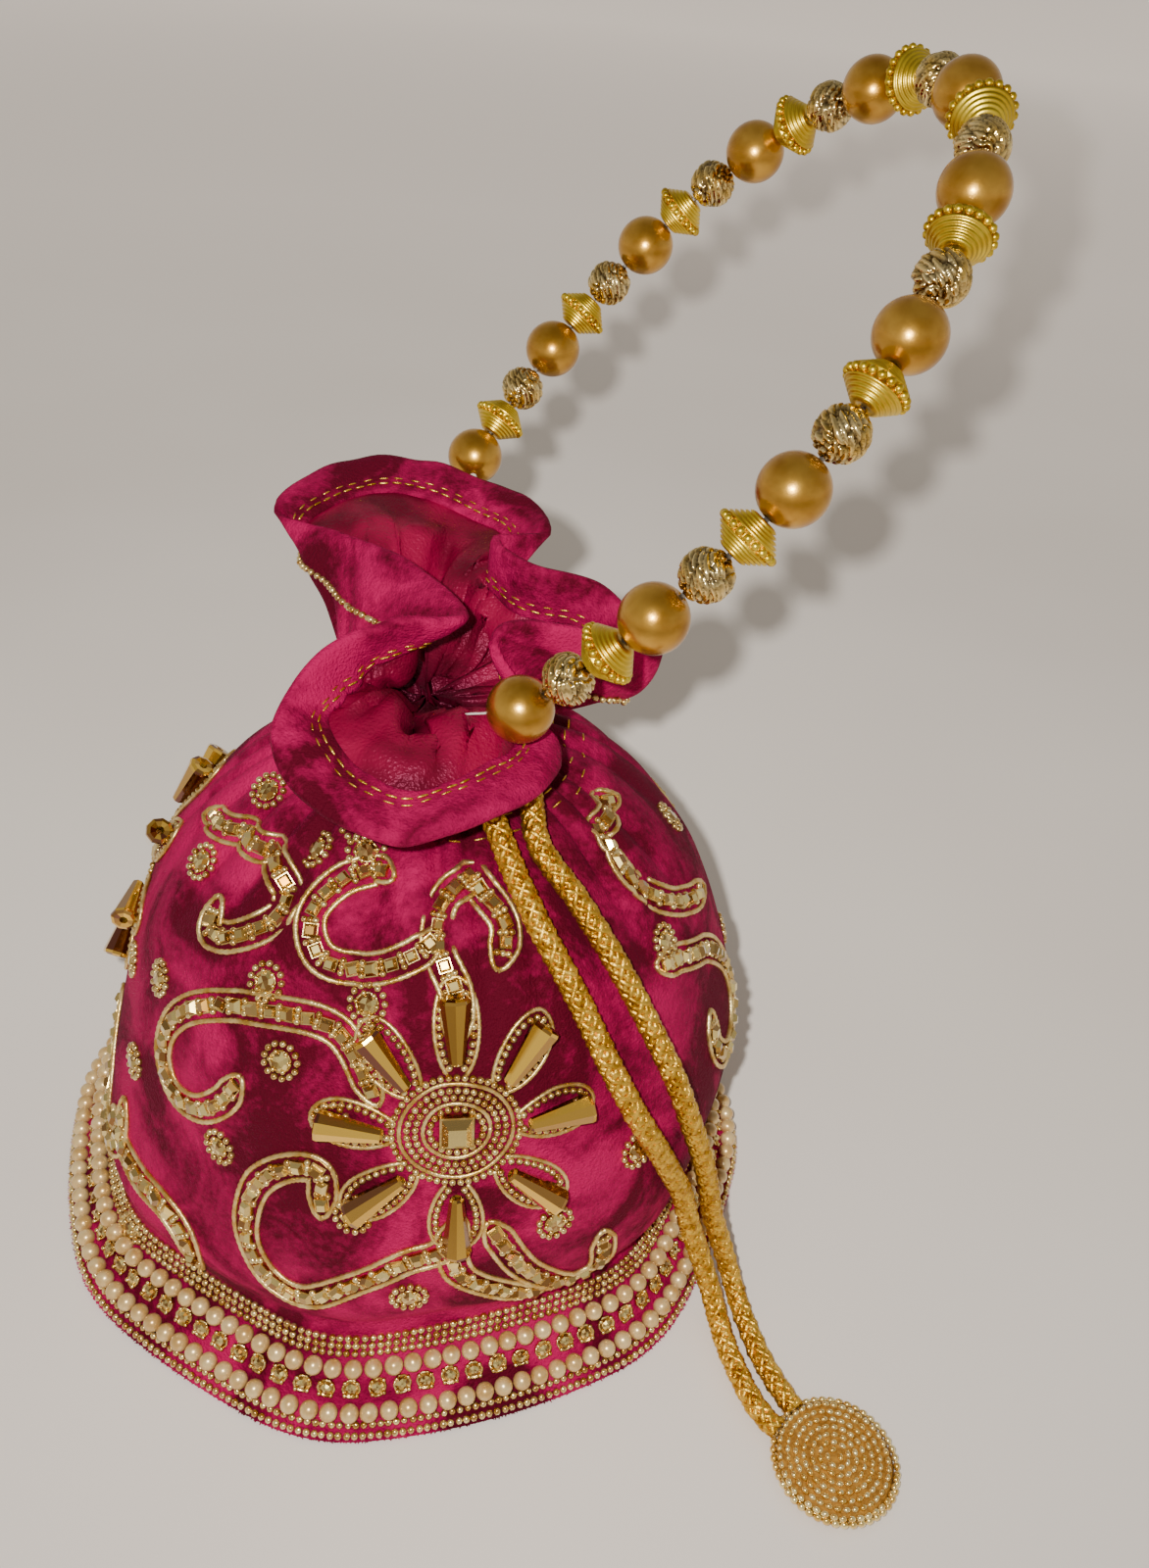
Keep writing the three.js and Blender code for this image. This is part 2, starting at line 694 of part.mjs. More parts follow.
const frontScrolls = [
  [[-1, 77], [-7, 86], [-14, 89], [-24, 88], [-36, 84], [-44, 76], [-46, 67], [-42, 61], [-35, 62], [-29, 68],
    [-26, 75]],
  [[13, 55], [10, 47], [4, 44], [-3, 38], [-11, 31], [-18, 33], [-22, 42], [-21, 53], [-16, 60], [-10, 61],
    [-9, 52]],
  [[11, 50], [13, 40], [21, 31], [28, 26]],
  [[15, 58], [18, 51], [24, 37], [32, 27], [38, 29], [37, 41]],
  [[12, 88], [12, 96], [8, 102], [11, 108], [18, 109], [24, 104], [21, 98]],
  [[9, 103], [2, 100], [-8, 97], [-17, 98], [-22, 103], [-17, 108], [-4, 109]],
];
const sideScrolls = {
  embroidery_left: [[-75, 100], [-65, 103], [-50, 106], [-37, 106], [-30, 101], [-36, 96], [-44, 93], [-47, 98]],
  embroidery_right_upper: [[84, 109], [69, 109], [63, 104], [67, 97], [78, 90], [88, 87]],
  embroidery_right: [[58, 88], [68, 84], [80, 77], [88, 66], [86, 56], [78, 52], [72, 58], [73, 67]],
};

const wasm = await Module();
wasm.setup();

function toSolid(geometry) {
  const bare = geometry.clone();
  bare.deleteAttribute('normal');
  bare.deleteAttribute('uv');
  const merged = mergeVertices(bare);
  return new wasm.Manifold(new wasm.Mesh({
    numProp: 3,
    vertProperties: new Float32Array(merged.attributes.position.array),
    triVerts: new Uint32Array(merged.index.array),
  }));
}

function fromSolid(solid) {
  const mesh = solid.getMesh();
  const geometry = new THREE.BufferGeometry();
  geometry.setAttribute('position', new THREE.BufferAttribute(mesh.vertProperties, 3));
  geometry.setIndex(new THREE.BufferAttribute(mesh.triVerts, 1));
  geometry.computeVertexNormals();
  return geometry;
}

// The front flower and the scrolls that grow out of it are one joined piece of cordwork
function frontEmbroidery() {
  const parts = [flowerPetals(), ...frontScrolls.map(scroll)];
  return fromSolid(parts.map(toSolid).reduce((whole, part) => whole.add(part)));
}
addPiece('front_embroidery', frontEmbroidery(), seedGold);
Object.entries(sideScrolls).forEach(([name, points]) => addPiece(name, scroll(points), seedGold));

// Cone glass beads on the petals, thick end outwards, and the stone in the flower's middle
const coneSides = 6;
const coneLift = stitchLift + ridgeHeight + clothGap + coneFootDiameter / 2;
for (let k = 0; k < petalCount; k++) {
  const cone = new THREE.CylinderGeometry(coneFootDiameter / 2, coneTipDiameter / 2, coneLength, coneSides);
  const bead = addPiece(`cone_bead_${k + 1}`, cone, glassGold);
  const inner = onBody(...onPetal(k, coneReach - coneLength / 2), coneLift).point;
  const outer = onBody(...onPetal(k, coneReach + coneLength / 2), coneLift).point;
  bead.position.copy(middleOf(inner, outer));
  bead.quaternion.setFromUnitVectors(lathAxis, outer.sub(inner).normalize());
}
const stoneSeat = onBody(flowerAngle, flowerHeight, clothGap);
const stone = new THREE.CylinderGeometry(
  flowerStoneDiameter / 3,
  flowerStoneDiameter / 2,
  flowerStoneHeight,
  8,
);
const flowerStone = addPiece('flower_stone', stone, stoneGold);
flowerStone.position.copy(stoneSeat.point).addScaledVector(stoneSeat.normal, flowerStoneHeight / 2);
flowerStone.quaternion.setFromUnitVectors(lathAxis, stoneSeat.normal);

export default model;
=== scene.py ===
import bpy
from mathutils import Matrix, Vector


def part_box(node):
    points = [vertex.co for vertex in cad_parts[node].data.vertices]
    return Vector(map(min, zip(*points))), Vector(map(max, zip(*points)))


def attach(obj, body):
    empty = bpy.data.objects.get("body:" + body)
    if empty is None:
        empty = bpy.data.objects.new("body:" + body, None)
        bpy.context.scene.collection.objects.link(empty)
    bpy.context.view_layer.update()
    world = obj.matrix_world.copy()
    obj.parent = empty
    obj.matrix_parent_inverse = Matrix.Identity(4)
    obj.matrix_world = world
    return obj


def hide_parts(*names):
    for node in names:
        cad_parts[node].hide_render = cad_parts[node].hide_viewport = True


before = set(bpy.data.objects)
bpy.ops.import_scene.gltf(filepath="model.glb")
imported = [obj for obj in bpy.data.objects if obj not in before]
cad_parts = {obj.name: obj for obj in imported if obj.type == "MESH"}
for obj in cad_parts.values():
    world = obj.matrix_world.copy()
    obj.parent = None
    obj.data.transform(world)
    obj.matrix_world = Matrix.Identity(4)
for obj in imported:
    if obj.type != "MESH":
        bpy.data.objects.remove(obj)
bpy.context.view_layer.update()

import math
import random

import bmesh
import bpy
import numpy as np
from mathutils import Matrix, Vector, noise
from mathutils.bvhtree import BVHTree

# A velvet potli with a ruffled mouth, a handle of strung beads and raised gold embroidery.
# Shapes are worked out in millimetres and go into the scene in metres. The front faces -Y.
random.seed(11)
mm = 0.001


# Helpers
def linear(hexColour):
    parts = [int(hexColour[k:k + 2], 16) / 255 for k in (1, 3, 5)]
    return [c / 12.92 if c <= 0.04045 else ((c + 0.055) / 1.055) ** 2.4 for c in parts] + [1]


def newMaterial(name):
    material = bpy.data.materials.new(name)
    material.use_nodes = True
    place = material.node_tree.nodes.new("ShaderNodeTexCoord").outputs["Object"]
    return material, material.node_tree.nodes["Principled BSDF"], place


def connect(material, source, target):
    # A node given as the source stands for its first output
    socket = source.outputs[0] if isinstance(source, bpy.types.Node) else source
    material.node_tree.links.new(socket, target)


def addNode(material, kind, settings=None, links=None):
    node = material.node_tree.nodes.new("ShaderNode" + kind)
    for name, value in (settings or {}).items():
        if isinstance(name, int) or name in node.inputs:
            node.inputs[name].default_value = value
        else:
            setattr(node, name, value)
    for name, source in (links or {}).items():
        connect(material, source, node.inputs[name])
    return node


def setShader(material, shader, settings, links):
    for name, value in settings.items():
        shader.inputs[name].default_value = value
    for name, source in links.items():
        connect(material, source, shader.inputs[name])


def twoColours(material, factor, first, second, low=0.35, high=0.65):
    ramp = addNode(material, "ValToRGB", links={"Fac": factor})
    ramp.color_ramp.elements[0].position = low
    ramp.color_ramp.elements[0].color = linear(first)
    ramp.color_ramp.elements[1].position = high
    ramp.color_ramp.elements[1].color = linear(second)
    return ramp.outputs["Color"]


def meshFrom(build, smooth=True):
    shape = bmesh.new()
    build(shape)
    bmesh.ops.recalc_face_normals(shape, faces=shape.faces)
    for face in shape.faces:
        face.smooth = smooth
    mesh = bpy.data.meshes.new("shape")
    shape.to_mesh(mesh)
    shape.free()
    return mesh


def copiesOf(template, places):
    whole = bmesh.new()
    for place in places:
        copy = template.copy()
        copy.transform(place)
        whole.from_mesh(copy)
        bpy.data.meshes.remove(copy)
    mesh = bpy.data.meshes.new("copies")
    whole.to_mesh(mesh)
    whole.free()
    return mesh


def joined(meshes):
    whole = bmesh.new()
    for mesh in meshes:
        whole.from_mesh(mesh)
    mesh = bpy.data.meshes.new("joined")
    whole.to_mesh(mesh)
    whole.free()
    return mesh


def paintFacetGlints(mesh):
    # Each facet of a cut stone gets a painted glint of its own: a random tone from dark to bright, for the
    # light it sends back
    glintTones = [random.random() for _ in mesh.polygons]
    mesh.attributes.new("facet", "FLOAT", "FACE").data.foreach_set("value", glintTones)
    return mesh


def addPiece(name, mesh, material, body="bag", standsFor=()):
    mesh.transform(Matrix.Scale(mm, 4))
    mesh.name = name
    mesh.materials.append(material)
    piece = bpy.data.objects.new(name, mesh)
    bpy.context.scene.collection.objects.link(piece)
    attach(piece, body)
    if standsFor:
        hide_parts(*standsFor)
    return piece


def smoothLine(points, count, closed=False):
    points = np.array(points, float)
    spans = len(points) if closed else len(points) - 1
    place = np.arange(count) / count * spans if closed else np.linspace(0, spans, count)
    k = np.minimum(place.astype(int), spans - 1)
    t = (place - k)[:, None]
    if closed:
        a, b, c, d = [points[(k + step) % spans] for step in (-1, 0, 1, 2)]
    else:
        ends = [2 * points[0] - points[1]], points, [2 * points[-1] - points[-2]]
        a, b, c, d = [np.vstack(ends)[k + step] for step in (0, 1, 2, 3)]
    return 0.5 * (2 * b + (c - a) * t + (2 * a - 5 * b + 4 * c - d) * t**2 + (3 * b - a - 3 * c + d) * t**3)


def runOf(points):
    # How far along a line each of its points is
    return np.concatenate([[0], np.cumsum(np.linalg.norm(np.diff(points, axis=0), axis=1))])


def walk(points, pitch, normals=None, closed=False):
    # Places an even pitch apart along a line, each with its normal and its direction
    points = np.array(points, float)
    normals = np.array(normals, float) if normals is not None else np.tile([0.0, 0, 1], (len(points), 1))
    if closed:
        points = np.vstack([points, points[:1]])
        normals = np.vstack([normals, normals[:1]])
    run = runOf(points)
    count = max(2, round(run[-1] / pitch))
    at = np.arange(count) * run[-1] / count if closed else np.linspace(0, run[-1], count)
    spots = np.stack([np.interp(at, run, points[:, k]) for k in range(3)], 1)
    facing = np.stack([np.interp(at, run, normals[:, k]) for k in range(3)], 1)
    ahead = np.roll(spots, -1, 0) - np.roll(spots, 1, 0) if closed else np.gradient(spots, axis=0)
    steps = zip(spots, facing, ahead)
    return [(Vector(p), Vector(n).normalized(), Vector(a).normalized()) for p, n, a in steps]


def seat(point, normal, along, scale=(1, 1, 1)):
    # A matrix that stands a shape on a surface: its Z along the normal and its X along a line
    z = Vector(normal).normalized()
    x = Vector(along) - z * z.dot(Vector(along))
    x = x.normalized() if x.length > 1e-6 else z.orthogonal().normalized()
    place = Matrix((x, z.cross(x), z)).transposed().to_4x4()
    place.translation = point
    return place @ Matrix.Diagonal((*scale, 1))


def tube(path, radius, sides=6, beat=1.0):
    # A cord swept along a path; beat draws every other ring in, as the turns of a twisted cord do
    points = [Vector(p) for p in path]
    side = Vector((0.31, 0.17, 0.93))
    frames = []
    for k, point in enumerate(points):
        along = (points[min(k + 1, len(points) - 1)] - points[max(k - 1, 0)]).normalized()
        side = (side - along * side.dot(along)).normalized()
        place = Matrix((side, along.cross(side), along)).transposed().to_4x4()
        place.translation = point
        thickness = beat if k % 2 else 1.0
        frames.append(place @ Matrix.Diagonal((thickness, thickness, 1, 1)))

    def build(shape):
        bmesh.ops.create_circle(shape, segments=sides, radius=radius, matrix=frames[0])
        edges = shape.edges[:]
        for before, after in zip(frames, frames[1:]):
            grown = bmesh.ops.extrude_edge_only(shape, edges=edges)["geom"]
            fresh = {part for part in grown if isinstance(part, bmesh.types.BMVert)}
            edges = [e for e in grown if isinstance(e, bmesh.types.BMEdge) and set(e.verts) <= fresh]
            bmesh.ops.transform(shape, matrix=after @ before.inverted(), verts=list(fresh))
        bmesh.ops.holes_fill(shape, edges=[e for e in shape.edges if e.is_boundary], sides=0)
    return meshFrom(build)


def ball(radius, segments=8, rings=5, squash=1.0):
    size = Matrix.Diagonal((1, 1, squash, 1))
    return meshFrom(lambda shape: bmesh.ops.create_uvsphere(
        shape, u_segments=segments, v_segments=rings, radius=radius, matrix=size))


def cone(sides, low, high, depth, middle, turn=0.0, smooth=True):
    place = Matrix.Translation((0, 0, middle)) @ Matrix.Rotation(turn, 4, "Z")
    return meshFrom(lambda shape: bmesh.ops.create_cone(
        shape, cap_ends=True, segments=sides, radius1=low, radius2=high, depth=depth, matrix=place), smooth)


def waysRound(count, offset=0.0):
    # Even steps round a circle, as directions
    turns = [2 * math.pi * (k + offset) / count for k in range(count)]
    return [Vector((math.cos(turn), math.sin(turn), 0)) for turn in turns]


def spun(outline, steps, smooth=True):
    # A shape turned round Z from [radius, height] points
    def build(shape):
        points = [shape.verts.new((radius, 0, height)) for radius, height in outline]
        line = [shape.edges.new(pair) for pair in zip(points, points[1:])]
        bmesh.ops.spin(shape, geom=points + line, cent=(0, 0, 0), axis=(0, 0, 1), angle=2 * math.pi,
                       steps=steps, use_merge=True)
        bmesh.ops.remove_doubles(shape, verts=shape.verts, dist=1e-4)
        # Merging leaves the faces in no fixed order, and the painted glints of cut facets go by that order
        slant = Vector((0.731, 0.419, 0.907))
        shape.faces.sort(key=lambda face: face.calc_center_median().dot(slant))
        shape.faces.index_update()
    return meshFrom(build, smooth)


# Camera
cameraFacts = {"place": (32.1, -213.0, 256.3), "down": 34.8, "roll": 5.8, "lens": 29.25}


def addCamera(facts):
    down = math.radians(facts["down"])
    roll = math.radians(facts["roll"])
    forward = Vector((0, math.cos(down), -math.sin(down)))
    level = Vector((1, 0, 0))
    upright = Vector((0, math.sin(down), math.cos(down)))
    right = math.cos(roll) * level + math.sin(roll) * upright
    top = -math.sin(roll) * level + math.cos(roll) * upright
    data = bpy.data.cameras.new("camera")
    data.sensor_fit = "VERTICAL"
    data.sensor_height = 36
    data.lens = facts["lens"]
    data.clip_start = 0.01
    camera = bpy.data.objects.new("camera", data)
    place = Matrix((right, top, -forward)).transposed().to_4x4()
    place.translation = Vector(facts["place"]) * mm
    camera.matrix_world = place
    bpy.context.scene.collection.objects.link(camera)
    bpy.context.scene.camera = camera


addCamera(cameraFacts)
print("camera set")


# Materials
def pileVelvet(facts):
    # Cotton-backed cut velvet: the pile lies in patches, and the base colour goes with them from wine to
    # bright magenta, which is painted sheen for the light off the pile where it leans towards the light; the
    # shader adds a sheen where the pile turns away. Real fibres are finer, and are drawn this coarse to show
    material, shader, place = newMaterial("cut_pile_velvet")
    # Painted sheen: these patches turn the wine pile to bright magenta
    sheenPatches = addNode(material, "TexNoise",
                      {"Scale": 1 / facts["patch"], "Detail": 4.0, "Roughness": 0.58, "Distortion": 0.9},
                      {"Vector": place})
    nap = addNode(material, "TexNoise",
                  {"Scale": 1 / facts["nap"], "Detail": 3.0, "Roughness": 0.7}, {"Vector": place})
    fibres = addNode(material, "TexNoise", {"Scale": 1 / facts["fibre"], "Detail": 2.0},
                     {"Vector": place})
    mixed = addNode(material, "Math", {"operation": "MULTIPLY_ADD", 1: facts["napShare"]},
                    {0: nap, 2: sheenPatches})
    rise = addNode(material, "Math", {"operation": "ADD"}, {0: nap, 1: fibres})
    bump = addNode(material, "Bump", {"Strength": 0.75, "Distance": 0.0006}, {"Height": rise})
    setShader(material, shader,
              {"Roughness": 0.8, "Specular IOR Level": 0.12, "Sheen Weight": 0.1, "Sheen Roughness": 0.3,
               "Sheen Tint": linear(facts["sheen"])},
              {"Base Color": twoColours(material, mixed, *facts["colours"], 0.52, 0.73),
               "Normal": bump})
    return material


def polyesterSatin(facts):
    # Polyester satin: long floats of bright thread, so folds show soft broad highlights and no pile.
    # The weave is drawn coarser than its real 0.1 mm, so that it shows
    material, shader, place = newMaterial("polyester_satin")
    tone = addNode(material, "TexNoise", {"Scale": 1 / facts["patch"], "Detail": 2.0},
                   {"Vector": place})
    weave = addNode(material, "TexNoise", {"Scale": 1 / facts["weave"], "Detail": 1.0},
                    {"Vector": place})
    bump = addNode(material, "Bump", {"Strength": 0.7, "Distance": 0.0004}, {"Height": weave})
    # Painted shade: the satin goes to near-black in the throat and in the slit between the folds, where
    # shadow falls
    depth = addNode(material, "Attribute", {"attribute_name": "painted_shade"})
    colour = addNode(material, "Mix", {"data_type": "RGBA", 7: linear(facts["paintedShadeColour"])},
                     {"Factor": depth.outputs["Fac"],
                      6: twoColours(material, tone, *facts["colours"])})
    setShader(material, shader, {"Roughness": 0.4, "IOR": 1.5, "Specular Tint": linear(facts["shine"])},
              {"Base Color": colour.outputs[2], "Normal": bump})
    return material


def platedMetal(name, facts):
    # Bright plating over brass or plastic: a metal whose colour breaks up a little and whose grain is fine
    material, shader, place = newMaterial(name)
    tone = addNode(material, "TexNoise", {"Scale": 1 / facts["patch"], "Detail": 3.0},
                   {"Vector": place})
    grain = addNode(material, "TexNoise", {"Scale": 1 / facts["grain"], "Detail": 2.0},
                    {"Vector": place})
    bump = addNode(material, "Bump", {"Strength": facts["bump"], "Distance": 0.0002}, {"Height": grain})
    low, high = facts["gloss"]
    gloss = addNode(material, "MapRange", {"To Min": low, "To Max": high}, {"Value": tone})
    colour = twoColours(material, tone, *facts["colours"])
    if "paintedCutShade" in facts:  # painted shade in the carved cut lines, where shadow falls
        depth = addNode(material, "Attribute", {"attribute_name": "paintedCutShade"})
        darkened = addNode(material, "Mix", {"data_type": "RGBA", 7: linear(facts["paintedCutShade"])},
                           {"Factor": depth.outputs["Fac"], 6: colour})
        colour = darkened.outputs[2]
    setShader(material, shader, {"Metallic": facts["metallic"]},
              {"Base Color": colour, "Roughness": gloss, "Normal": bump})
    return material


def beadCoating(name, facts):
    # Pearl coating on glass or plastic: a soft body colour under a clear coat that gives a small hard glint
    material, shader, place = newMaterial(name)
    tone = addNode(material, "TexNoise", {"Scale": 1 / facts["patch"], "Detail": 4.0},
                   {"Vector": place})
    pits = addNode(material, "TexNoise", {"Scale": 1 / 0.0007, "Detail": 2.0}, {"Vector": place})
    bump = addNode(material, "Bump", {"Strength": facts["bump"], "Distance": 0.0002}, {"Height": pits})
    setShader(material, shader,
              {"Metallic": facts["metallic"], "Roughness": facts["gloss"], "Coat Weight": facts["coat"],
               "Coat Roughness": 0.12},
              {"Base Color": twoColours(material, tone, *facts["colours"]),
               "Normal": bump})
    return material


def backedGlass(name, facts):
    # Cut or moulded glass with a metal foil behind it: the foil's colour comes back bright under clear glass
    material, shader, place = newMaterial(name)
    if "glint" in facts:
        # Painted glints: bead-sized cells come out brighter or darker at random, for the light they send
        # back
        glints = addNode(material, "TexVoronoi", {"Scale": 1 / facts["glint"]}, {"Vector": place})
        parts = addNode(material, "SeparateColor", links={"Color": glints.outputs["Color"]})
        tone = parts.outputs["Red"]
    else:  # painted glints: each cut facet gets its own brightness, for the light it sends back
        tone = addNode(material, "Attribute", {"attribute_name": "facet"}).outputs["Fac"]
    setShader(material, shader,
              {"Metallic": facts["metallic"], "Roughness": facts["gloss"], "Coat Weight": 1.0,
               "Coat Roughness": 0.03, "Coat IOR": 1.52},
              {"Base Color": twoColours(material, tone, *facts["colours"], 0.1, 0.9)})
    return material


def plainFibre(name, facts):
    # Matt fibres, as card or spun thread: no gloss, and fine fibres in the surface
    material, shader, place = newMaterial(name)
    tone = addNode(material, "TexNoise", {"Scale": 1 / facts["grain"], "Detail": 4.0},
                   {"Vector": place})
    bump = addNode(material, "Bump", {"Strength": 0.4, "Distance": 0.0003}, {"Height": tone})
    setShader(material, shader, {"Roughness": 0.85, "Specular IOR Level": 0.3},
              {"Base Color": twoColours(material, tone, *facts["colours"]),
               "Normal": bump})
    return material


# The velvet's bright magenta is painted sheen over the wine of the pile
velvet = pileVelvet({"patch": 0.026, "nap": 0.0016, "fibre": 0.0005, "napShare": 0.22,
                     "colours": ("#56001A", "#B60A52"), "sheen": "#FF3A86"})
# The satin's near-black is painted shade for the throat and the slit
satin = polyesterSatin({"patch": 0.012, "weave": 0.0006, "colours": ("#58061C", "#920D38"),
                        "paintedShadeColour": "#26000A", "shine": "#FF7FA8"})
goldThread = platedMetal("couched_gold_thread", {
    "patch": 0.003, "grain": 0.0004, "bump": 0.5, "gloss": (0.26, 0.44), "metallic": 0.9,
    "colours": ("#CDA04A", "#FBE09A")})
braidThread = platedMetal("braided_metallic_thread", {
    "patch": 0.002, "grain": 0.0003, "bump": 0.6, "gloss": (0.24, 0.42), "metallic": 0.92,
    "colours": ("#B98318", "#F8CA50")})
# The filigree's dark cut lines are painted shade
mirrorGold = platedMetal("mirror_gold_plating", {
    "patch": 0.004, "grain": 0.001, "bump": 0.08, "gloss": (0.08, 0.18), "metallic": 1.0,
    "colours": ("#EBC264", "#FDE4A2"), "paintedCutShade": "#4A2C0A"})
yellowGold = platedMetal("satin_yellow_gold", {
    "patch": 0.004, "grain": 0.0003, "bump": 0.15, "gloss": (0.26, 0.4), "metallic": 1.0,
    "colours": ("#D4AC2A", "#F2D244")})
claspGold = platedMetal("stamped_gold_setting", {
    "patch": 0.002, "grain": 0.0005, "bump": 0.2, "gloss": (0.2, 0.34), "metallic": 1.0,
    "colours": ("#D0A552", "#F6DC94")})
steelWire = platedMetal("bright_steel_wire", {
    "patch": 0.003, "grain": 0.0004, "bump": 0.1, "gloss": (0.25, 0.4), "metallic": 1.0,
    "colours": ("#8F8A82", "#B9B4AB")})
creamPearl = beadCoating("cream_pearl_coating", {
    "patch": 0.003, "bump": 0.08, "metallic": 0.4, "gloss": 0.3, "coat": 0.6,
    "colours": ("#C79C58", "#E6C68A")})
copperPearl = beadCoating("copper_pearl_coating", {
    "patch": 0.005, "bump": 0.1, "metallic": 0.88, "gloss": 0.27, "coat": 0.25,
    "colours": ("#AE7A22", "#D2A040")})
seedGlass = backedGlass("silver_lined_seed_glass", {
    "glint": 0.0012, "metallic": 0.88, "gloss": 0.22, "colours": ("#B4822E", "#FAE096")})
coilGlass = backedGlass("silver_lined_coil_beads", {
    "glint": 0.0016, "metallic": 0.85, "gloss": 0.22, "colours": ("#E2B552", "#FFEAA4")})
# Cut stones and amber cones get painted glints, facet by facet, from dark to bright
cutStone = backedGlass("foil_backed_cut_glass", {
    "metallic": 0.92, "gloss": 0.2, "colours": ("#8E5C0E", "#FFE690")})
amberGlass = backedGlass("foil_backed_amber_glass", {
    "metallic": 0.85, "gloss": 0.1, "colours": ("#6A2C04", "#FFCB48")})
whiteThread = plainFibre("white_sewing_thread", {"grain": 0.0005, "colours": ("#CFC4B4", "#EFE8DC")})
# The felt's brown is partly its own colour and partly painted shade, for the gaps between the tassel's bead
# rows
feltAndGapShade = plainFibre("gold_brown_felt_and_gap_shade", {"grain": 0.0008, "colours": ("#7C5216", "#A87628")})
greyCard = plainFibre("grey_board", {"grain": 0.0012, "colours": ("#A5937B", "#C2AF95")})
print("materials made")


# Drawcord ends and tassel
cordFacts = {"diameter": 4.6, "strands": 12, "strandRadius": 0.62, "strandReach": 1.7, "coreRadius": 1.6,
             "plaitPitch": 12.0, "step": 0.5}
tasselFacts = {"centre": (98.3, -76.0), "radius": 13.3, "thickness": 3.8, "bead": 1.6, "pitch": 1.75,
               "rowPitch": 1.62, "beadShape": (1.15, 0.8, 0.95), "edgeShape": (1.15, 1.1, 0.9)}
cordRoutes = {
    "cord_tail_left": [
        [15.5, -17.9, 121.3], [16.7, -21.4, 121.1], [17.3, -25.9, 119], [19.8, -30.1, 115.8],
        [23.1, -34.7, 111.5], [28.7, -40.9, 104.6], [36.4, -46.2, 94], [42.9, -49.6, 82.8],
        [49.5, -51.4, 70.9],
        [54.8, -50.4, 60.6], [59, -47.6, 50], [62.6, -44.6, 40], [65.6, -43.6, 29], [69.3, -44, 19],
        [72.6, -45.3, 10], [75, -48.5, 4.4], [76.8, -53.5, 2.7], [79.6, -60.8, 2.7], [82.4, -66.4, 2.7],
        [84.9, -69.6, 2.7], [86.8, -71, 2.4]],
    "cord_tail_right": [
        [19.6, -14.4, 121.3], [22.2, -17, 121], [24.2, -20.6, 118.8], [26.9, -28.4, 113.5],
        [34.9, -34.3, 106.4], [43.3, -38.9, 96], [49.8, -41.4, 85.6], [56.9, -43.4, 72.5], [61.4, -43.4, 61],
        [65.4, -41.6, 49], [68.3, -39.6, 38], [70.8, -38.4, 27], [74.2, -38.2, 17], [77.2, -39, 8.6],
        [79.6, -42.4, 3.7], [81.4, -47.5, 2.7], [84, -55, 2.7], [87, -61, 2.7], [89.2, -64.4, 2.7],
        [90.6, -66.4, 2.4]],
}


def plaitedCord(path, facts):
    # Strands that wind both ways round a core and pass over and under each other
    spots = walk(path, facts["step"])
    half = facts["strands"] // 2
    side = Vector((0.3, 0.2, 0.93))
    strands = [[] for _ in range(facts["strands"])]
    run = 0
    for k, (point, _, along) in enumerate(spots):
        side = (side - along * side.dot(along)).normalized()
        across = along.cross(side)
        for s, strand in enumerate(strands):
            way = 1 if s % 2 else -1
            turn = 2 * math.pi * (way * run / facts["plaitPitch"] + (s // 2) / half)
            weave = way * math.cos(2 * math.pi * half * run / facts["plaitPitch"] + (s // 2) * math.pi)
            reach = facts["strandReach"] + 0.2 * weave
            strand.append(point + (side * math.cos(turn) + across * math.sin(turn)) * reach)
        if k + 1 < len(spots):
            run += (spots[k + 1][0] - point).length
    core = tube([spot[0] for spot in spots], facts["coreRadius"])
    return joined([core] + [tube(strand, facts["strandRadius"], 5) for strand in strands])


def coiledTassel(facts):
    # A flat spiral of threaded beads on each face, each bead's long side along the thread, and a row
    # on the edge
    bead = ball(facts["bead"] / 2)
    radius = facts["radius"]
    half = facts["thickness"] / 2
    places = []
    for face in (1, -1):
        reach = 0.9
        turn = 0.0
        while reach < radius - 1.1:
            lift = (half - facts["bead"] / 2) * (1 - 0.35 * (reach / radius) ** 2)
            spot = (reach * math.cos(turn), reach * math.sin(turn), face * lift)
            along = (-math.sin(turn), math.cos(turn), 0)
            places.append(seat(spot, (0, 0, face), along, facts["beadShape"]))
            turn += facts["pitch"] / reach
            reach += facts["pitch"] * facts["rowPitch"] / (2 * math.pi * reach)
    edge = radius - 0.75
    for way in waysRound(round(2 * math.pi * edge / facts["pitch"])):
        places.append(seat(way * edge, way, (-way.y, way.x, 0), facts["edgeShape"]))
    middle = Matrix.Translation((*facts["centre"], half))
    disc = spun([[0, -half + 0.8], [radius - 2.2, -half + 1.2], [radius - 1.4, 0],
                 [radius - 2.2, half - 1.2], [0, half - 0.8]], 32)
    disc.transform(middle)
    return copiesOf(bead, [middle @ place for place in places]), disc


coilMesh, discMesh = coiledTassel(tasselFacts)
tassel = addPiece("tassel_beads", coilMesh, coilGlass, standsFor=["bead_tassel"])
# The felt disc shows between the bead rows, darker partly as painted shade
tasselFelt = addPiece("tassel_felt", discMesh, feltAndGapShade, standsFor=["bead_tassel"])
for name, points in cordRoutes.items():
    path = smoothLine(points, 260)
    braid = plaitedCord(path, cordFacts)
    cord = addPiece(name + "_braid", braid, braidThread, standsFor=[name])
print("cords made")


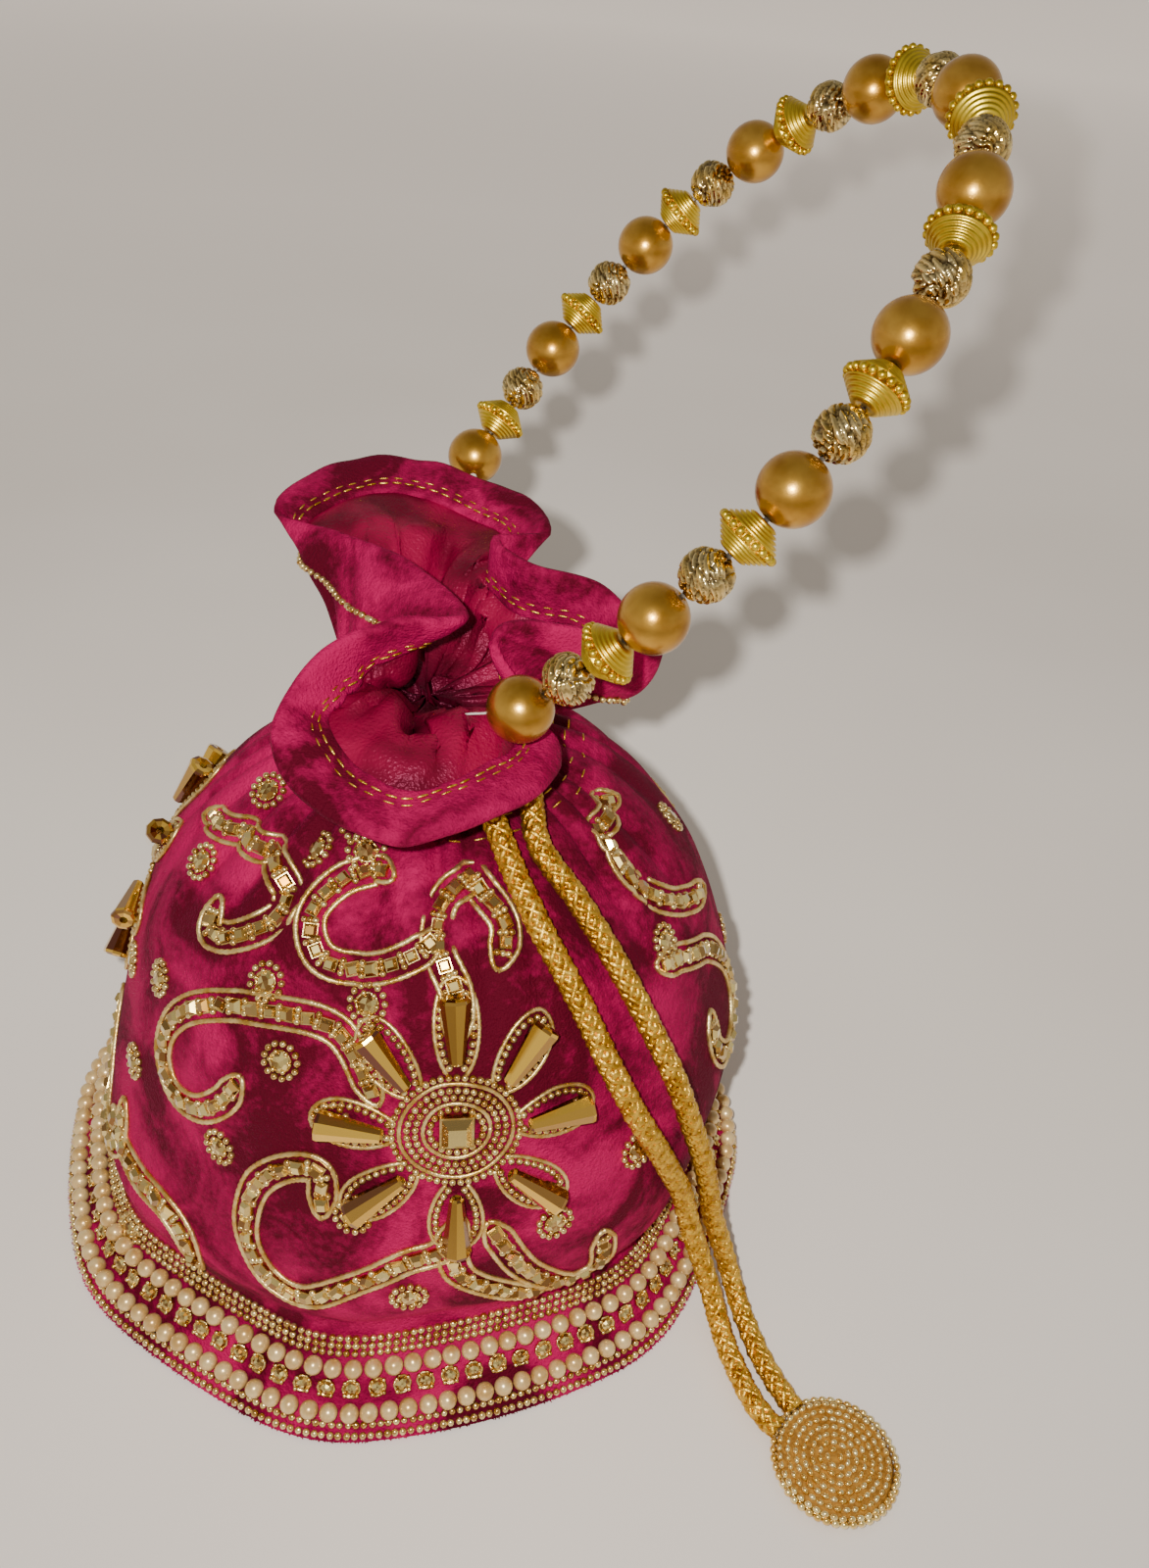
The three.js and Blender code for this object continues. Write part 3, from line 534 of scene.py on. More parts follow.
# Velvet pouch
pouch = {
    "around": 288, "footRadius": 80.0, "bandTopRadius": 68.0, "bandTopHeight": 16.5,
    "line": [[67.2, 0, 20.5], [69.5, 4.5, 45], [57, 4.5, 85], [38, 4, 108.5], [20.5, 4, 118.5]],
    "neckRadius": 20.5, "neckHeight": 118.5, "channelWidth": 5.0, "neckShift": 4.0,
    "ruffleLift": 12.0, "ruffleFollow": 0.15,
    "rightWall": {"angle": 102, "width": 24, "follow": 1.0, "drop": 9.5},  # this lobe hangs out and down
    "corners": [-48, -5, 49, 94, 139, 184, 226, 268],  # degrees round the base
    "flats": [0.04, 0.05, 0.045, 0.045, 0.045, 0.04, 0.035, 0.03],  # how far each side dips after its corner
    "bulge": 2.4, "dent": 1.5, "gathers": 26, "neckGather": 2.2, "ruffleWave": 1.3,
    "facingWidth": 10.5, "facingDepth": 1.9, "lip": 0.55, "ruffleRows": 26,
}
rimPoints = [
    [5, -7, 27], [-7, -13, 28], [-18.5, -22, 24], [-24, -33, 15.5], [-17, -43, 9], [-2, -49.5, 6],
    [11, -44, 6.5], [22.5, -31, 6.8], [23.2, -16.6, 8.8], [12, -11, 25], [23, -7, 26], [35, -3, 22],
    [42, 3, 18], [30, 15, 24.5], [16, 16, 27], [9, 23.5, 28.5], [18, 31.5, 27], [13, 45, 27],
    [-1, 55, 27], [-18, 55, 30], [-32, 48, 28.5], [-39.5, 33, 25.5], [-25, 22, 27], [-8, 8, 29]]

around = pouch["around"]
angles = 360 * np.arange(around) / around - 67.5
outward = np.stack([np.sin(np.radians(angles)), -np.cos(np.radians(angles)), 0 * angles], 1)
upward = np.array([0.0, 0, 1])


def eased(value, low, high):
    t = np.clip((np.asarray(value, float) - low) / (high - low), 0, 1)
    return t * t * (3 - 2 * t)


def cornered():
    # The base board isn't quite round: flats between soft corners, as a share of the radius
    shape = np.zeros(around)
    corners = pouch["corners"] + [pouch["corners"][0] + 360]
    for k, angle in enumerate(angles):
        turned = angle if angle >= corners[0] else angle + 360
        spot = max(j for j in range(len(corners) - 1) if corners[j] <= turned)
        middle = (corners[spot] + corners[spot + 1]) / 2
        half = (corners[spot + 1] - corners[spot]) / 2
        shape[k] = -pouch["flats"][spot] * (1 - ((turned - middle) / half) ** 2)
    smooth = np.convolve(np.concatenate([shape[-6:], shape, shape[:6]]), np.ones(13) / 13, "valid")
    return smooth - smooth.mean()


def gatherFolds():
    # Narrow valleys of uneven spacing, 0 on the swell and 1 in the valley
    u = np.arange(around) / around
    phase = pouch["gathers"] * u + 0.32 * np.sin(2 * np.pi * (3 * u + 0.1))
    phase += 0.22 * np.sin(2 * np.pi * (7 * u + 0.4))
    return (1 - np.abs(np.sin(np.pi * phase))) ** 1.3


def ringRow(radius, shift, height):
    row = outward * np.asarray(radius).reshape(-1, 1) + upward * height
    row[:, 0] += shift
    return row


def rowNormals(rows):
    grid = np.array(rows)
    sideways = np.roll(grid, -1, 1) - np.roll(grid, 1, 1)
    upwards = np.gradient(grid, axis=0)
    normals = np.cross(sideways, upwards)
    return normals / np.maximum(np.linalg.norm(normals, axis=2, keepdims=True), 1e-9)


def outsideRows():
    # Rows of the velvet from the middle of the underside to the rim, and how far each is gathered
    corner = cornered()
    foot = pouch["footRadius"]
    rows = [ringRow(foot * share * (1 + corner), 0, 0.15) for share in (0.0002, 0.3, 0.6, 0.85)]
    rows.append(ringRow(foot * (1 + corner) + 0.6, 0, 0.0))
    for share in np.linspace(0, 1, 9):
        radius = foot + (pouch["bandTopRadius"] - foot) * share
        edge = 0.9 if share == 0 else 0
        height = 0.5 + share * pouch["bandTopHeight"]
        rows.append(ringRow(radius * (1 + (1 + 0.4 * share) * corner) + edge, 0, height))
    depths = [0.0] * len(rows)
    for radius, shift, height in smoothLine(pouch["line"], 50):
        keep = 1 - eased(height, 20, 62)
        swell = pouch["bulge"] * math.exp(-(((height - 27) / 6.5) ** 2))
        broad = [noise.noise(Vector((o[0] * 1.6, o[1] * 1.6, height / 34))) for o in outward]
        small = [noise.noise(Vector((o[0] * 4, o[1] * 4, height / 16 + 5))) for o in outward]
        dents = np.array(broad) + 0.5 * np.array(small)
        reach = pouch["dent"] * (1 - 0.6 * eased(height, 95, 118))
        rows.append(ringRow(radius * (1 + keep * corner) + swell + reach * dents, shift, height))
        drawn = float(0.15 * eased(height, 55, 85) + 0.85 * eased(height, 84, 116))
        depths.append(pouch["neckGather"] * drawn)
    for share in (0.35, 0.7, 1):
        height = pouch["neckHeight"] + share * pouch["channelWidth"]
        rows.append(ringRow(pouch["neckRadius"], pouch["neckShift"], height))
        depths.append(pouch["neckGather"])
    top = rows[-1]
    middle = np.array([pouch["neckShift"], 0, pouch["neckHeight"] + pouch["channelWidth"] / 2])
    rim = smoothLine(rimPoints, around, closed=True) + middle
    wall = pouch["rightWall"]
    onWall = np.exp(-(((angles - wall["angle"]) / wall["width"]) ** 2))[:, None]
    bend = top + upward * (pouch["ruffleLift"] - wall["drop"] * onWall)
    bend[:, :2] += (rim - top)[:, :2] * (pouch["ruffleFollow"] + wall["follow"] * onWall)
    count = pouch["ruffleRows"]
    for share in np.linspace(1 / count, 1, count):
        rows.append(top * (1 - share) ** 2 + bend * 2 * share * (1 - share) + rim * share**2)
        depths.append(pouch["neckGather"] * (1 - share) ** 1.4 + 0.25)
    return rows, depths


def gathered(rows, depths):
    # Each row drawn inwards by the gathers, and the ruffle's rows waved as well
    normals = rowNormals(rows)
    folds = gatherFolds()
    ruffleStart = len(rows) - pouch["ruffleRows"]
    made = []
    for k, row in enumerate(rows):
        inwards = folds * depths[k]
        if k >= ruffleStart:
            share = (k - ruffleStart) / (pouch["ruffleRows"] - 1)
            wave = np.array([noise.noise(Vector((p[0] / 9, p[1] / 9, p[2] / 14))) for p in row])
            inwards = inwards + pouch["ruffleWave"] * eased(share, 0.1, 0.9) * wave
        made.append(row - normals[k] * inwards[:, None] if depths[k] > 0 else row)
    return np.array(made)


def clothMesh(rows):
    # A grid laid over the rows and closed round the seam
    grid = np.array(rows)
    count = len(rows) - 1

    def build(shape):
        bmesh.ops.create_grid(shape, x_segments=around, y_segments=count, size=0.5)
        for vert in shape.verts:
            column = round((vert.co.x + 0.5) * around) % around
            vert.co = grid[round((vert.co.y + 0.5) * count), column]
        bmesh.ops.remove_doubles(shape, verts=shape.verts, dist=1e-3)
    return meshFrom(build)


outsideFlat, gatherDepths = outsideRows()
outside = gathered(outsideFlat, gatherDepths)
ruffle = outside[-(pouch["ruffleRows"] + 6):]  # with the neck's last rows
ruffleNormals = rowNormals(ruffle)


def onStrand(k, reach):
    # The place on one upright strand of the ruffle at a distance from its rim, with its normal
    strand = ruffle[::-1, k]
    run = runOf(strand)
    spot = [np.interp(reach, run, strand[:, axis]) for axis in range(3)]
    return spot, [np.interp(reach, run, ruffleNormals[::-1, k, axis]) for axis in range(3)]


def onRuffle(reach, depth):
    # A row on the ruffle at a distance from its rim, sunk into the mouth by a depth, with its normals
    pairs = np.array([onStrand(k, reach) for k in range(around)])
    facing = pairs[:, 1]
    facing /= np.maximum(np.linalg.norm(facing, axis=1, keepdims=True), 1e-9)
    return pairs[:, 0] - facing * depth, facing


rimUp = ruffle[-1] - ruffle[-2]
rimUp /= np.linalg.norm(rimUp, axis=1, keepdims=True)
lip = ruffle[-1] + rimUp * pouch["lip"]
facingRows = [lip - ruffleNormals[-1] * pouch["facingDepth"] * share for share in (0.25, 0.75)]
for reach in (0.3, 1.8, 3.4, 5, 6.6, 8.3, 9.6, 10.3):
    puff = 0.35 * math.sin(math.pi * min(reach / 8.3, 1))
    facingRows.append(onRuffle(reach, pouch["facingDepth"] + puff)[0])
facingRows.append(onRuffle(pouch["facingWidth"], pouch["facingDepth"] - 0.8)[0])
velvetMesh = clothMesh(list(outside) + facingRows)
addPiece("velvet_pouch", velvetMesh, velvet, standsFor=["velvet_shell"])

outerTree = BVHTree.FromPolygons([v.co / mm for v in velvetMesh.vertices],
                                 [tuple(p.vertices) for p in velvetMesh.polygons])
print("velvet made,", len(velvetMesh.polygons), "faces")


# Satin lining
lining = {"fold": 3.6, "folds": 9, "throatRadius": 4.2, "throatFold": 3.6, "throat": (2.0, -2.0, 127.0),
          "crumple": 2.8, "crumpleSize": 12.0, "tongue": [(-3.0, -12.0), (0.4, -25.5)], "tongueHeight": 3.8,
          "slit": [(7.0, -5.0), (3.4, -16.0), (2.6, -27.0)], "slitDepth": 3.5, "slitWidth": 1.5,
          "sack": [(5, 120), (8, 112), (14, 108), (30, 101), (44, 92), (53, 80), (60, 65), (64, 45),
                   (63, 25), (62, 8), (45, 4.6), (0.02, 4.4)]}  # radius and height, from the throat down


def offLine(spot, start, end):
    # How far a place lies to the left of a line seen from above, and how far along the line it is
    along = np.array(end) - np.array(start)
    reach = np.array(spot[:2]) - np.array(start)
    size = math.hypot(*along)
    return float(reach[0] * along[1] - reach[1] * along[0]) / size, float(reach @ along) / size**2


def tongueRise(spot):
    side, share = offLine(spot, *lining["tongue"])
    left = math.exp(-max(side - 1.5, 0) / 6) if side > 0 else max(0.0, 1 + side / 1.3)
    return lining["tongueHeight"] * left * math.exp(-(((share - 0.5) / 0.55) ** 2))


def slitShade(spot):
    # 1 in the gap between the folds, down the middle of the cup: it sinks the satin there and sets the
    # painted shadow in the slit
    nearest = 9.0
    for start, end in zip(lining["slit"], lining["slit"][1:]):
        side, share = offLine(spot, start, end)
        beyond = max(0.0, -share, share - 1) * math.dist(start, end)
        nearest = min(nearest, math.hypot(side, beyond))
    return math.exp(-((nearest / lining["slitWidth"]) ** 2))


def satinRows():
    # From under the velvet facing down through the throat and over the sack's floor
    u = np.arange(around) / around
    phase = lining["folds"] * u + 0.4 * np.sin(2 * np.pi * 2 * u) + 0.25 * np.sin(2 * np.pi * (5 * u + 0.3))
    creases = (0.5 + 0.5 * np.sin(2 * np.pi * phase)) ** 0.7
    throat = np.array(lining["throat"])
    throatReach = lining["throatRadius"] + lining["throatFold"] * np.sin(2 * np.pi * phase * 0.7)
    ring = outward * np.maximum(throatReach, 0.6)[:, None] + throat
    rows = [onRuffle(reach, 1.0)[0] for reach in (4, 7, 9.5)]
    strandLengths = np.linalg.norm(np.diff(ruffle, axis=0), axis=2).sum(0)
    for share in np.linspace(0.06, 1, 18):
        spots = np.zeros((around, 3))
        for k in range(around):
            reach = pouch["facingWidth"] + share * (strandLengths[k] - pouch["facingWidth"] - 8)
            here, way = np.array(onStrand(k, reach))
            ridge = 1 - min(1, 2.4 * abs(noise.noise(Vector(here / lining["crumpleSize"]))))
            crease = lining["crumple"] * ridge + 0.8 * abs(noise.noise(Vector(here / 4)))
            spread = math.sin(math.pi * min(share * 1.2, 0.5))
            depth = 1.3 + (lining["fold"] * creases[k] + crease) * spread
            spots[k] = here - way * depth
            spots[k, 2] += (tongueRise(spots[k]) - lining["slitDepth"] * slitShade(spots[k])) * spread
        pull = float(eased(share, 0.35, 1.0))
        rows.append(spots * (1 - pull) + ring * pull)
    for radius, height in lining["sack"]:
        rows.append(ringRow(np.full(around, float(radius)), 3, height))
    return rows


satinMesh = clothMesh(satinRows()[::-1])
# Painted shade for the satin: darker towards the throat and in the slit, where shadow falls
shades = []
for vert in satinMesh.vertices:
    inThroat = 1 - float(eased((vert.co - Vector(lining["throat"])).length, 3.0, 17.0))
    shades.append(max(0.9 * inThroat, slitShade(vert.co) if vert.co.z > 122 else 0.0))
satinMesh.attributes.new("painted_shade", "FLOAT", "POINT").data.foreach_set("value", shades)
addPiece("satin_sack", satinMesh, satin, standsFor=["satin_lining"])
print("lining made")


# Beads sewn to the cloth
bellyCentre = 4.3  # how far the belly's middle lies to the right


def onCloth(angle, height, centre=bellyCentre):
    # The outside of the velvet at an angle from the front and a height, with its normal
    out = Vector((math.sin(math.radians(angle)), -math.cos(math.radians(angle)), 0))
    hit, normal, _, _ = outerTree.ray_cast(Vector((centre, 0, height)) + out * 120, -out)
    return hit, normal if normal.dot(out) > 0 else -normal


def ringOnCloth(height):
    # A level line round the outside of the velvet, with its normals
    return zip(*[onCloth(k, height, 0) for k in range(360)])


def beadsAlong(line, normals, pitch, template, lift, closed=True, jitter=0.06):
    places = []
    for point, normal, along in walk(line, pitch, normals, closed):
        swing = Matrix.Rotation(random.uniform(-0.5, 0.5), 4, "Z")
        size = 1 + random.uniform(-jitter, jitter)
        spot = point + normal * lift + along * random.uniform(-0.1, 0.1)
        places.append(seat(spot, normal, along, (size, size, size)) @ swing)
    return copiesOf(template, places)


band = {
    "slopeUp": 0.809, "seed": 1.6, "seedPitch": 1.6, "pearl": 3.8, "pearlPitch": 3.85,
    "stonePitch": 4.9, "stoneTilt": 0.22,
    "rises": {"seed_rows_lower": (1.3, 3.1), "pearl_row_lower": (6.0,), "stone_row": (10.4,),
              "pearl_row_upper": (14.8,), "seed_rows_upper": (17.4, 18.9, 20.4)},
}
seedBead = ball(band["seed"] / 2, squash=0.82)
basePearl = ball(band["pearl"] / 2, 14, 9)
for name in ("seed_rows_lower", "seed_rows_upper", "pearl_row_lower", "pearl_row_upper"):
    isSeed = name.startswith("seed")
    rowMeshes = []
    for rise in band["rises"][name]:
        spots, facing = ringOnCloth(0.3 + rise * band["slopeUp"])
        template = seedBead if isSeed else basePearl
        pitch = band["seedPitch"] if isSeed else band["pearlPitch"]
        lift = band["seed"] * 0.42 if isSeed else band["pearl"] * 0.47
        rowMeshes.append(beadsAlong(spots, facing, pitch, template, lift, jitter=0.06 if isSeed else 0.015))
    finish, slotName = (seedGlass, "seed_gold") if isSeed else (creamPearl, "cream_pearl")
    addPiece(name + "_beads", joined(rowMeshes), finish, standsFor=[name])

roundStone = spun([[0, 0.2], [1.4, 0.2], [1.5, 0.7], [1.1, 1.2], [0.55, 1.5], [0, 1.55]], 8, smooth=False)


def clawCup(radius, height, claws):
    cup = spun([[0, 0], [radius, 0], [radius + 0.12, height], [radius - 0.25, height], [radius - 0.35, 0.2],
                [0, 0.2]], 10)
    top = Vector((0, 0, height + 0.12))
    places = [Matrix.Translation(way * radius * 0.93 + top) for way in waysRound(claws, 0.5)]
    return joined([cup, copiesOf(ball(0.5, 8, 6), places)])


spots, facing = ringOnCloth(0.3 + band["rises"]["stone_row"][0] * band["slopeUp"])
stoneSeats = []
for point, normal, along in walk(spots, band["stonePitch"], facing, True):
    tilt = Vector([random.uniform(-band["stoneTilt"], band["stoneTilt"]) for _ in range(3)])
    stoneSeats.append(seat(point + normal * 0.15, normal + tilt, along))
bandStones = paintFacetGlints(copiesOf(roundStone, stoneSeats))
addPiece("band_stones", bandStones, cutStone, standsFor=["stone_row"])
addPiece("band_settings", copiesOf(clawCup(1.8, 0.85, 4), stoneSeats), claspGold)

# Raw velvet at the foot, whose pile sticks out under the lowest beads
footPile = {"count": 1700, "length": 1.35, "width": 0.3}
fibre = cone(4, footPile["width"], 0.08, footPile["length"], footPile["length"] / 2 - 0.6)
spots, facing = ringOnCloth(0.7)
tufts = []
for point, normal, along in walk(spots, 2 * math.pi * pouch["footRadius"] / footPile["count"], facing, True):
    aim = Vector((normal.x, normal.y, 0)) + along * random.uniform(-0.9, 0.9)
    aim += Vector((0, 0, random.uniform(-0.1, 0.5)))
    tufts.append(seat(point, aim, along, (1, 1, random.uniform(0.6, 1.1))))
addPiece("foot_pile", copiesOf(fibre, tufts), velvet)
print("base band made")


# Ruffle stitching
stitching = {"lines": ((8.4, 2.7, (1.2, 0.24, 0.24)), (7.0, 3.4, (1.1, 0.17, 0.2))),  # reach, pitch, dash
             "pipingReach": 13.0, "pipingBead": 1.5, "pipingPitch": 1.55}
stitchShape = ball(1.0, 6, 5)
dashes = []
for reach, pitch, dash in stitching["lines"]:
    spots, facing = onRuffle(reach, pouch["facingDepth"] + 0.26)
    for point, normal, along in walk(spots, pitch, facing, True):
        drift = along * random.uniform(-0.2, 0.2)
        aim = along + Vector((0, 0, random.uniform(-0.1, 0.1)))
        dashes.append(seat(point + drift, -normal, aim, dash))
addPiece("rim_stitching", copiesOf(stitchShape, dashes), braidThread)
spots, facing = onRuffle(stitching["pipingReach"], 0)
pipingBead = ball(stitching["pipingBead"] / 2)
piping = beadsAlong(spots, facing, stitching["pipingPitch"], pipingBead, 0.5)
addPiece("rim_piping", piping, seedGlass)

threadPoints = [[10.4, -23.0, 136.2], [12.6, -23.9, 137.5], [14.6, -24.2, 138.0], [16.4, -24.6, 138.6]]
looseThread = smoothLine(threadPoints, 12)
addPiece("loose_thread", tube(looseThread, 0.22), whiteThread)
print("ruffle stitching made")


# Embroidery
needlework = {"halfWidth": 2.75, "cord": 0.6, "cordStep": 0.62, "beat": 0.8, "taper": 4.5,
              "stonePitch": 3.6, "stoneTilt": 0.25, "seed": 1.45, "sideSeeds": 1.1,
              "floretSeeds": 13, "floretReach": 3.3}
flowerFacts = {"angle": 12.0, "height": 72.5, "petals": 8, "coneReach": 18.8, "coneHalf": 5.5,
               "petalReach": 18.4, "petalLong": 8.2, "petalWide": 5.2, "cord": 0.5,
               "ringSeedPitch": 1.42, "petalSeedPitch": 1.45,
               "rings": [(4.6, "beads"), (5.8, "cord"), (7.1, "beads"), (8.5, "beads"),
                         (9.8, "cord"), (11.0, "beads")]}
frontScrolls = [
    [[-1, 77], [-7, 86], [-14, 89], [-24, 88], [-36, 84], [-44, 76], [-46, 67], [-42, 61], [-35, 62],
     [-29, 68], [-26, 75]],
    [[13, 55], [10, 47], [4, 44], [-3, 38], [-11, 31], [-18, 33], [-22, 42], [-21, 53], [-16, 60], [-10, 61],
     [-9, 52]],
    [[11, 50], [13, 40], [21, 31], [28, 26]],
    [[17, 53], [24, 37], [32, 27], [38, 29], [37, 41]],
    [[12, 88], [12, 96], [8, 102], [11, 108], [18, 109], [24, 104], [21, 98]],
    [[9, 103], [2, 100], [-8, 97], [-17, 98], [-22, 103], [-17, 108], [-4, 109]]]
sideScrolls = {
    "embroidery_left": [
        [[-75, 100], [-65, 103], [-50, 106], [-37, 106], [-30, 101], [-36, 96], [-44, 93], [-47, 98]],
        [[-62, 36], [-50, 34], [-40, 34], [-34, 29], [-33, 20]]],
    "embroidery_right_upper": [[[84, 109], [69, 109], [63, 104], [67, 97], [78, 90], [88, 87]]],
    "embroidery_right": [[[58, 88], [68, 84], [80, 77], [88, 66], [86, 56], [78, 52], [72, 58], [73, 67]]],
}
backScrolls = [
    [[150, 88], [138, 92], [126, 88], [118, 78], [120, 66], [130, 62], [138, 70]],
    [[190, 55], [200, 44], [212, 36], [224, 40], [228, 52], [220, 62], [210, 58]],
    [[172, 50], [164, 38], [152, 31], [140, 35], [136, 46], [142, 54]],
    [[196, 88], [206, 95], [220, 97], [230, 92], [228, 84]],
    [[-106, 40], [-113, 33], [-121, 38], [-124, 49], [-128, 58]],
    [[-82, 48], [-74, 38], [-64, 30], [-56, 33], [-57, 44]]]
florets = [
    (-61, 111), (-60, 98), (-53, 78), (-26, 92), (-5, 93), (-19, 81), (-9, 72), (-29, 57), (-4, 54), (5, 34),
    (28, 49), (63, 90), (44, 57), (-50, 14), (-21, 114), (-56, 55), (-70, 68), (100, 96), (104, 60),
    (110, 36), (150, 105), (128, 48), (184, 100), (206, 76), (238, 70), (236, 104), (160, 62), (178, 34),
    (-30, 109), (-15, 111)]


def softNormal(angle, height):
    total = Vector((0, 0, 0))
    for a, h in ((-2, 0), (2, 0), (0, -2), (0, 2), (0, 0)):
        total += onCloth(angle + a, height + h)[1]
    return total.normalized()


squareStone = cone(4, 1.95, 1.05, 1.0, 0.9, math.pi / 4, smooth=False)
squareCup = cone(4, 2.05, 2.0, 0.7, 0.25, math.pi / 4, smooth=False)
smallSeed = ball(needlework["seed"] / 2)
floretStone = spun([[0, 0.1], [1.75, 0.1], [1.95, 0.7], [1.2, 1.3], [0, 1.35]], 8, smooth=False)
floretCup = clawCup(2.15, 0.7, 6)


def couched(pairs, radius, parts):
    # A couched cord along places that each come with a normal
    steps = walk([p for p, _ in pairs], needlework["cordStep"], [n for _, n in pairs])
    parts["cords"].append(tube([p for p, _, _ in steps], radius, 6, needlework["beat"]))


def scrollWork(points, parts):
    # Two couched cords that meet in points, with square stones and small beads between them
    line = smoothLine(points, 14 * len(points))
    steps = walk([onCloth(*here)[0] for here in line], needlework["cordStep"],
                 [softNormal(*here) for here in line])
    total = len(steps) - 1
    for side in (-1, 1):
        path = []
        for k, (point, normal, along) in enumerate(steps):
            nearEnd = min(k, total - k) * needlework["cordStep"]
            width = needlework["halfWidth"] * min(1.0, (nearEnd / needlework["taper"]) ** 0.5)
            path.append(point + along.cross(normal) * side * width + normal * 0.3)
        parts["cords"].append(tube(path, needlework["cord"], 6, needlework["beat"]))
    inner = [step[0] for step in steps[5:-5]]
    facing = [step[1] for step in steps[5:-5]]
    for k, (point, normal, along) in enumerate(walk(inner, needlework["stonePitch"] / 2, facing)):
        if k % 2:
            parts["seeds"].append(seat(point + normal * 0.4, normal, along))
            for side in (-1, 1):
                aside = along.cross(normal) * side * needlework["sideSeeds"]
                parts["seeds"].append(seat(point + normal * 0.35 + aside, normal, along))
        else:
            lean = needlework["stoneTilt"]
            tilt = Vector([random.uniform(-lean, lean) for _ in range(3)])
            size = random.uniform(0.82, 1.0)
            parts["squares"].append(seat(point, normal + tilt, along + tilt * 0.8, (size, size, 1.15)))


def floret(angle, height, parts):
    point = onCloth(angle, height)[0]
    normal = softNormal(angle, height)
    parts["rounds"].append(seat(point, normal, (0, 0, 1)))
    x = normal.orthogonal().normalized()
    y = normal.cross(x)
    for way in waysRound(needlework["floretSeeds"]):
        spot = point + (x * way.x + y * way.y) * needlework["floretReach"] + normal * 0.35
        parts["seeds"].append(seat(spot, normal, x))


def flower(centreAngle, centreHeight, parts):
    # Petals of couched cord round a beaded middle, each petal holding a cone bead
    facts = flowerFacts
    middle, _ = onCloth(centreAngle, centreHeight)
    radius = (middle - Vector((bellyCentre, 0, centreHeight))).length
    rise = softNormal(centreAngle, centreHeight)
    upright = math.hypot(rise.x, rise.y)

    def place(right, above, lift=0.4):
        here = (centreAngle + math.degrees(right / radius), centreHeight + above * upright)
        normal = softNormal(*here)
        return onCloth(*here)[0] + normal * lift, normal

    for size, kind in facts["rings"]:
        ring = []
        for turn in np.linspace(0, 2 * math.pi, 61):
            ring.append(place(size * 1.05 * math.cos(turn), size * 0.97 * math.sin(turn)))
        if kind == "cord":
            couched(ring, facts["cord"], parts)
        else:
            steps = walk([p for p, _ in ring], facts["ringSeedPitch"], [n for _, n in ring])
            parts["seeds"] += [seat(*step) for step in steps[:-1]]
    spot, normal = place(0, 0, 0.2)
    parts["squares"].append(seat(spot, normal, (0, 0, 1), (2.2, 2.2, 2.0)))
    for way in waysRound(facts["petals"]):
        for inset, kind in ((0.0, "cord"), (1.3, "seeds")):
            loop = []
            for t in np.linspace(-2.65, 2.65, 33):
                reach = facts["petalReach"] + (facts["petalLong"] - inset) * math.cos(t)
                width = (facts["petalWide"] - inset) * math.sin(t) * (0.86 + 0.14 * math.cos(t))
                loop.append(place(reach * way.x - width * way.y, reach * way.y + width * way.x))
            if kind == "cord":
                couched(loop, facts["cord"], parts)
            else:
                steps = walk([p for p, _ in loop], facts["petalSeedPitch"], [n for _, n in loop])
                parts["seeds"] += [seat(*step) for step in steps]
        near = facts["coneReach"] - facts["coneHalf"]
        far = facts["coneReach"] + facts["coneHalf"]
        inner, normal = place(near * way.x, near * way.y, 2.2)
        outer, _ = place(far * way.x, far * way.y, 3.1)
        parts["cones"].append(seat((inner + outer) / 2, outer - inner, normal))


# A pressed glass cone with a hole, thick end up, in long flat facets
coneShape = spun([[0.35, -6.2], [0.9, -6.3], [1.35, -5.9], [2.85, 5.2], [2.7, 5.8], [2.0, 6.1], [0.9, 6.0],
                  [0.7, 5.0], [0.35, -6.2]], 9, smooth=False)


def emptyParts():
    return {"cords": [], "seeds": [], "squares": [], "rounds": [], "cones": []}


def sewn(name, parts, standsFor):
    addPiece(name + "_couching", joined(parts["cords"]), goldThread, standsFor=standsFor)
    if parts["seeds"]:
        addPiece(name + "_seeds", copiesOf(smallSeed, parts["seeds"]), seedGlass)
    stones = [copiesOf(squareStone, parts["squares"]), copiesOf(floretStone, parts["rounds"])]
    cups = [copiesOf(squareCup, parts["squares"]), copiesOf(floretCup, parts["rounds"])]
    addPiece(name + "_stones", paintFacetGlints(joined(stones)), cutStone)
    addPiece(name + "_settings", joined(cups), claspGold)


channelStitches = []
for angle in range(0, 360, 12):
    for rise in (0, 1.6):
        spot, normal = onCloth(angle + random.uniform(-2, 2), 113.6 + rise)
        turn = math.radians(angle)
        across = Vector((math.cos(turn), math.sin(turn), random.uniform(-0.2, 0.2)))
        channelStitches.append(seat(spot + normal * 0.12, normal, across, (1.3, 0.22, 0.22)))
addPiece("channel_stitches", copiesOf(stitchShape, channelStitches), braidThread)

front = emptyParts()
flower(flowerFacts["angle"], flowerFacts["height"], front)
for points in frontScrolls:
    scrollWork(points, front)
for spot in florets:
    floret(*spot, front)
sewn("front_needlework", front, ["front_embroidery", "flower_stone"])
for k, spot in enumerate(front["cones"]):
    bead = paintFacetGlints(copiesOf(coneShape, [spot]))
    addPiece(f"petal_cone_{k + 1}", bead, amberGlass, standsFor=[f"cone_bead_{k + 1}"])
for name, lines in sideScrolls.items():
    parts = emptyParts()
    for points in lines:
        scrollWork(points, parts)
    sewn(name + "_work", parts, [name])
rear = emptyParts()
for centre in ((-97, 74), (175, 70)):
    flower(*centre, rear)
for points in backScrolls:
    scrollWork(points, rear)
sewn("rear_needlework", rear, [])
addPiece("rear_cones", paintFacetGlints(copiesOf(coneShape, rear["cones"])), amberGlass)
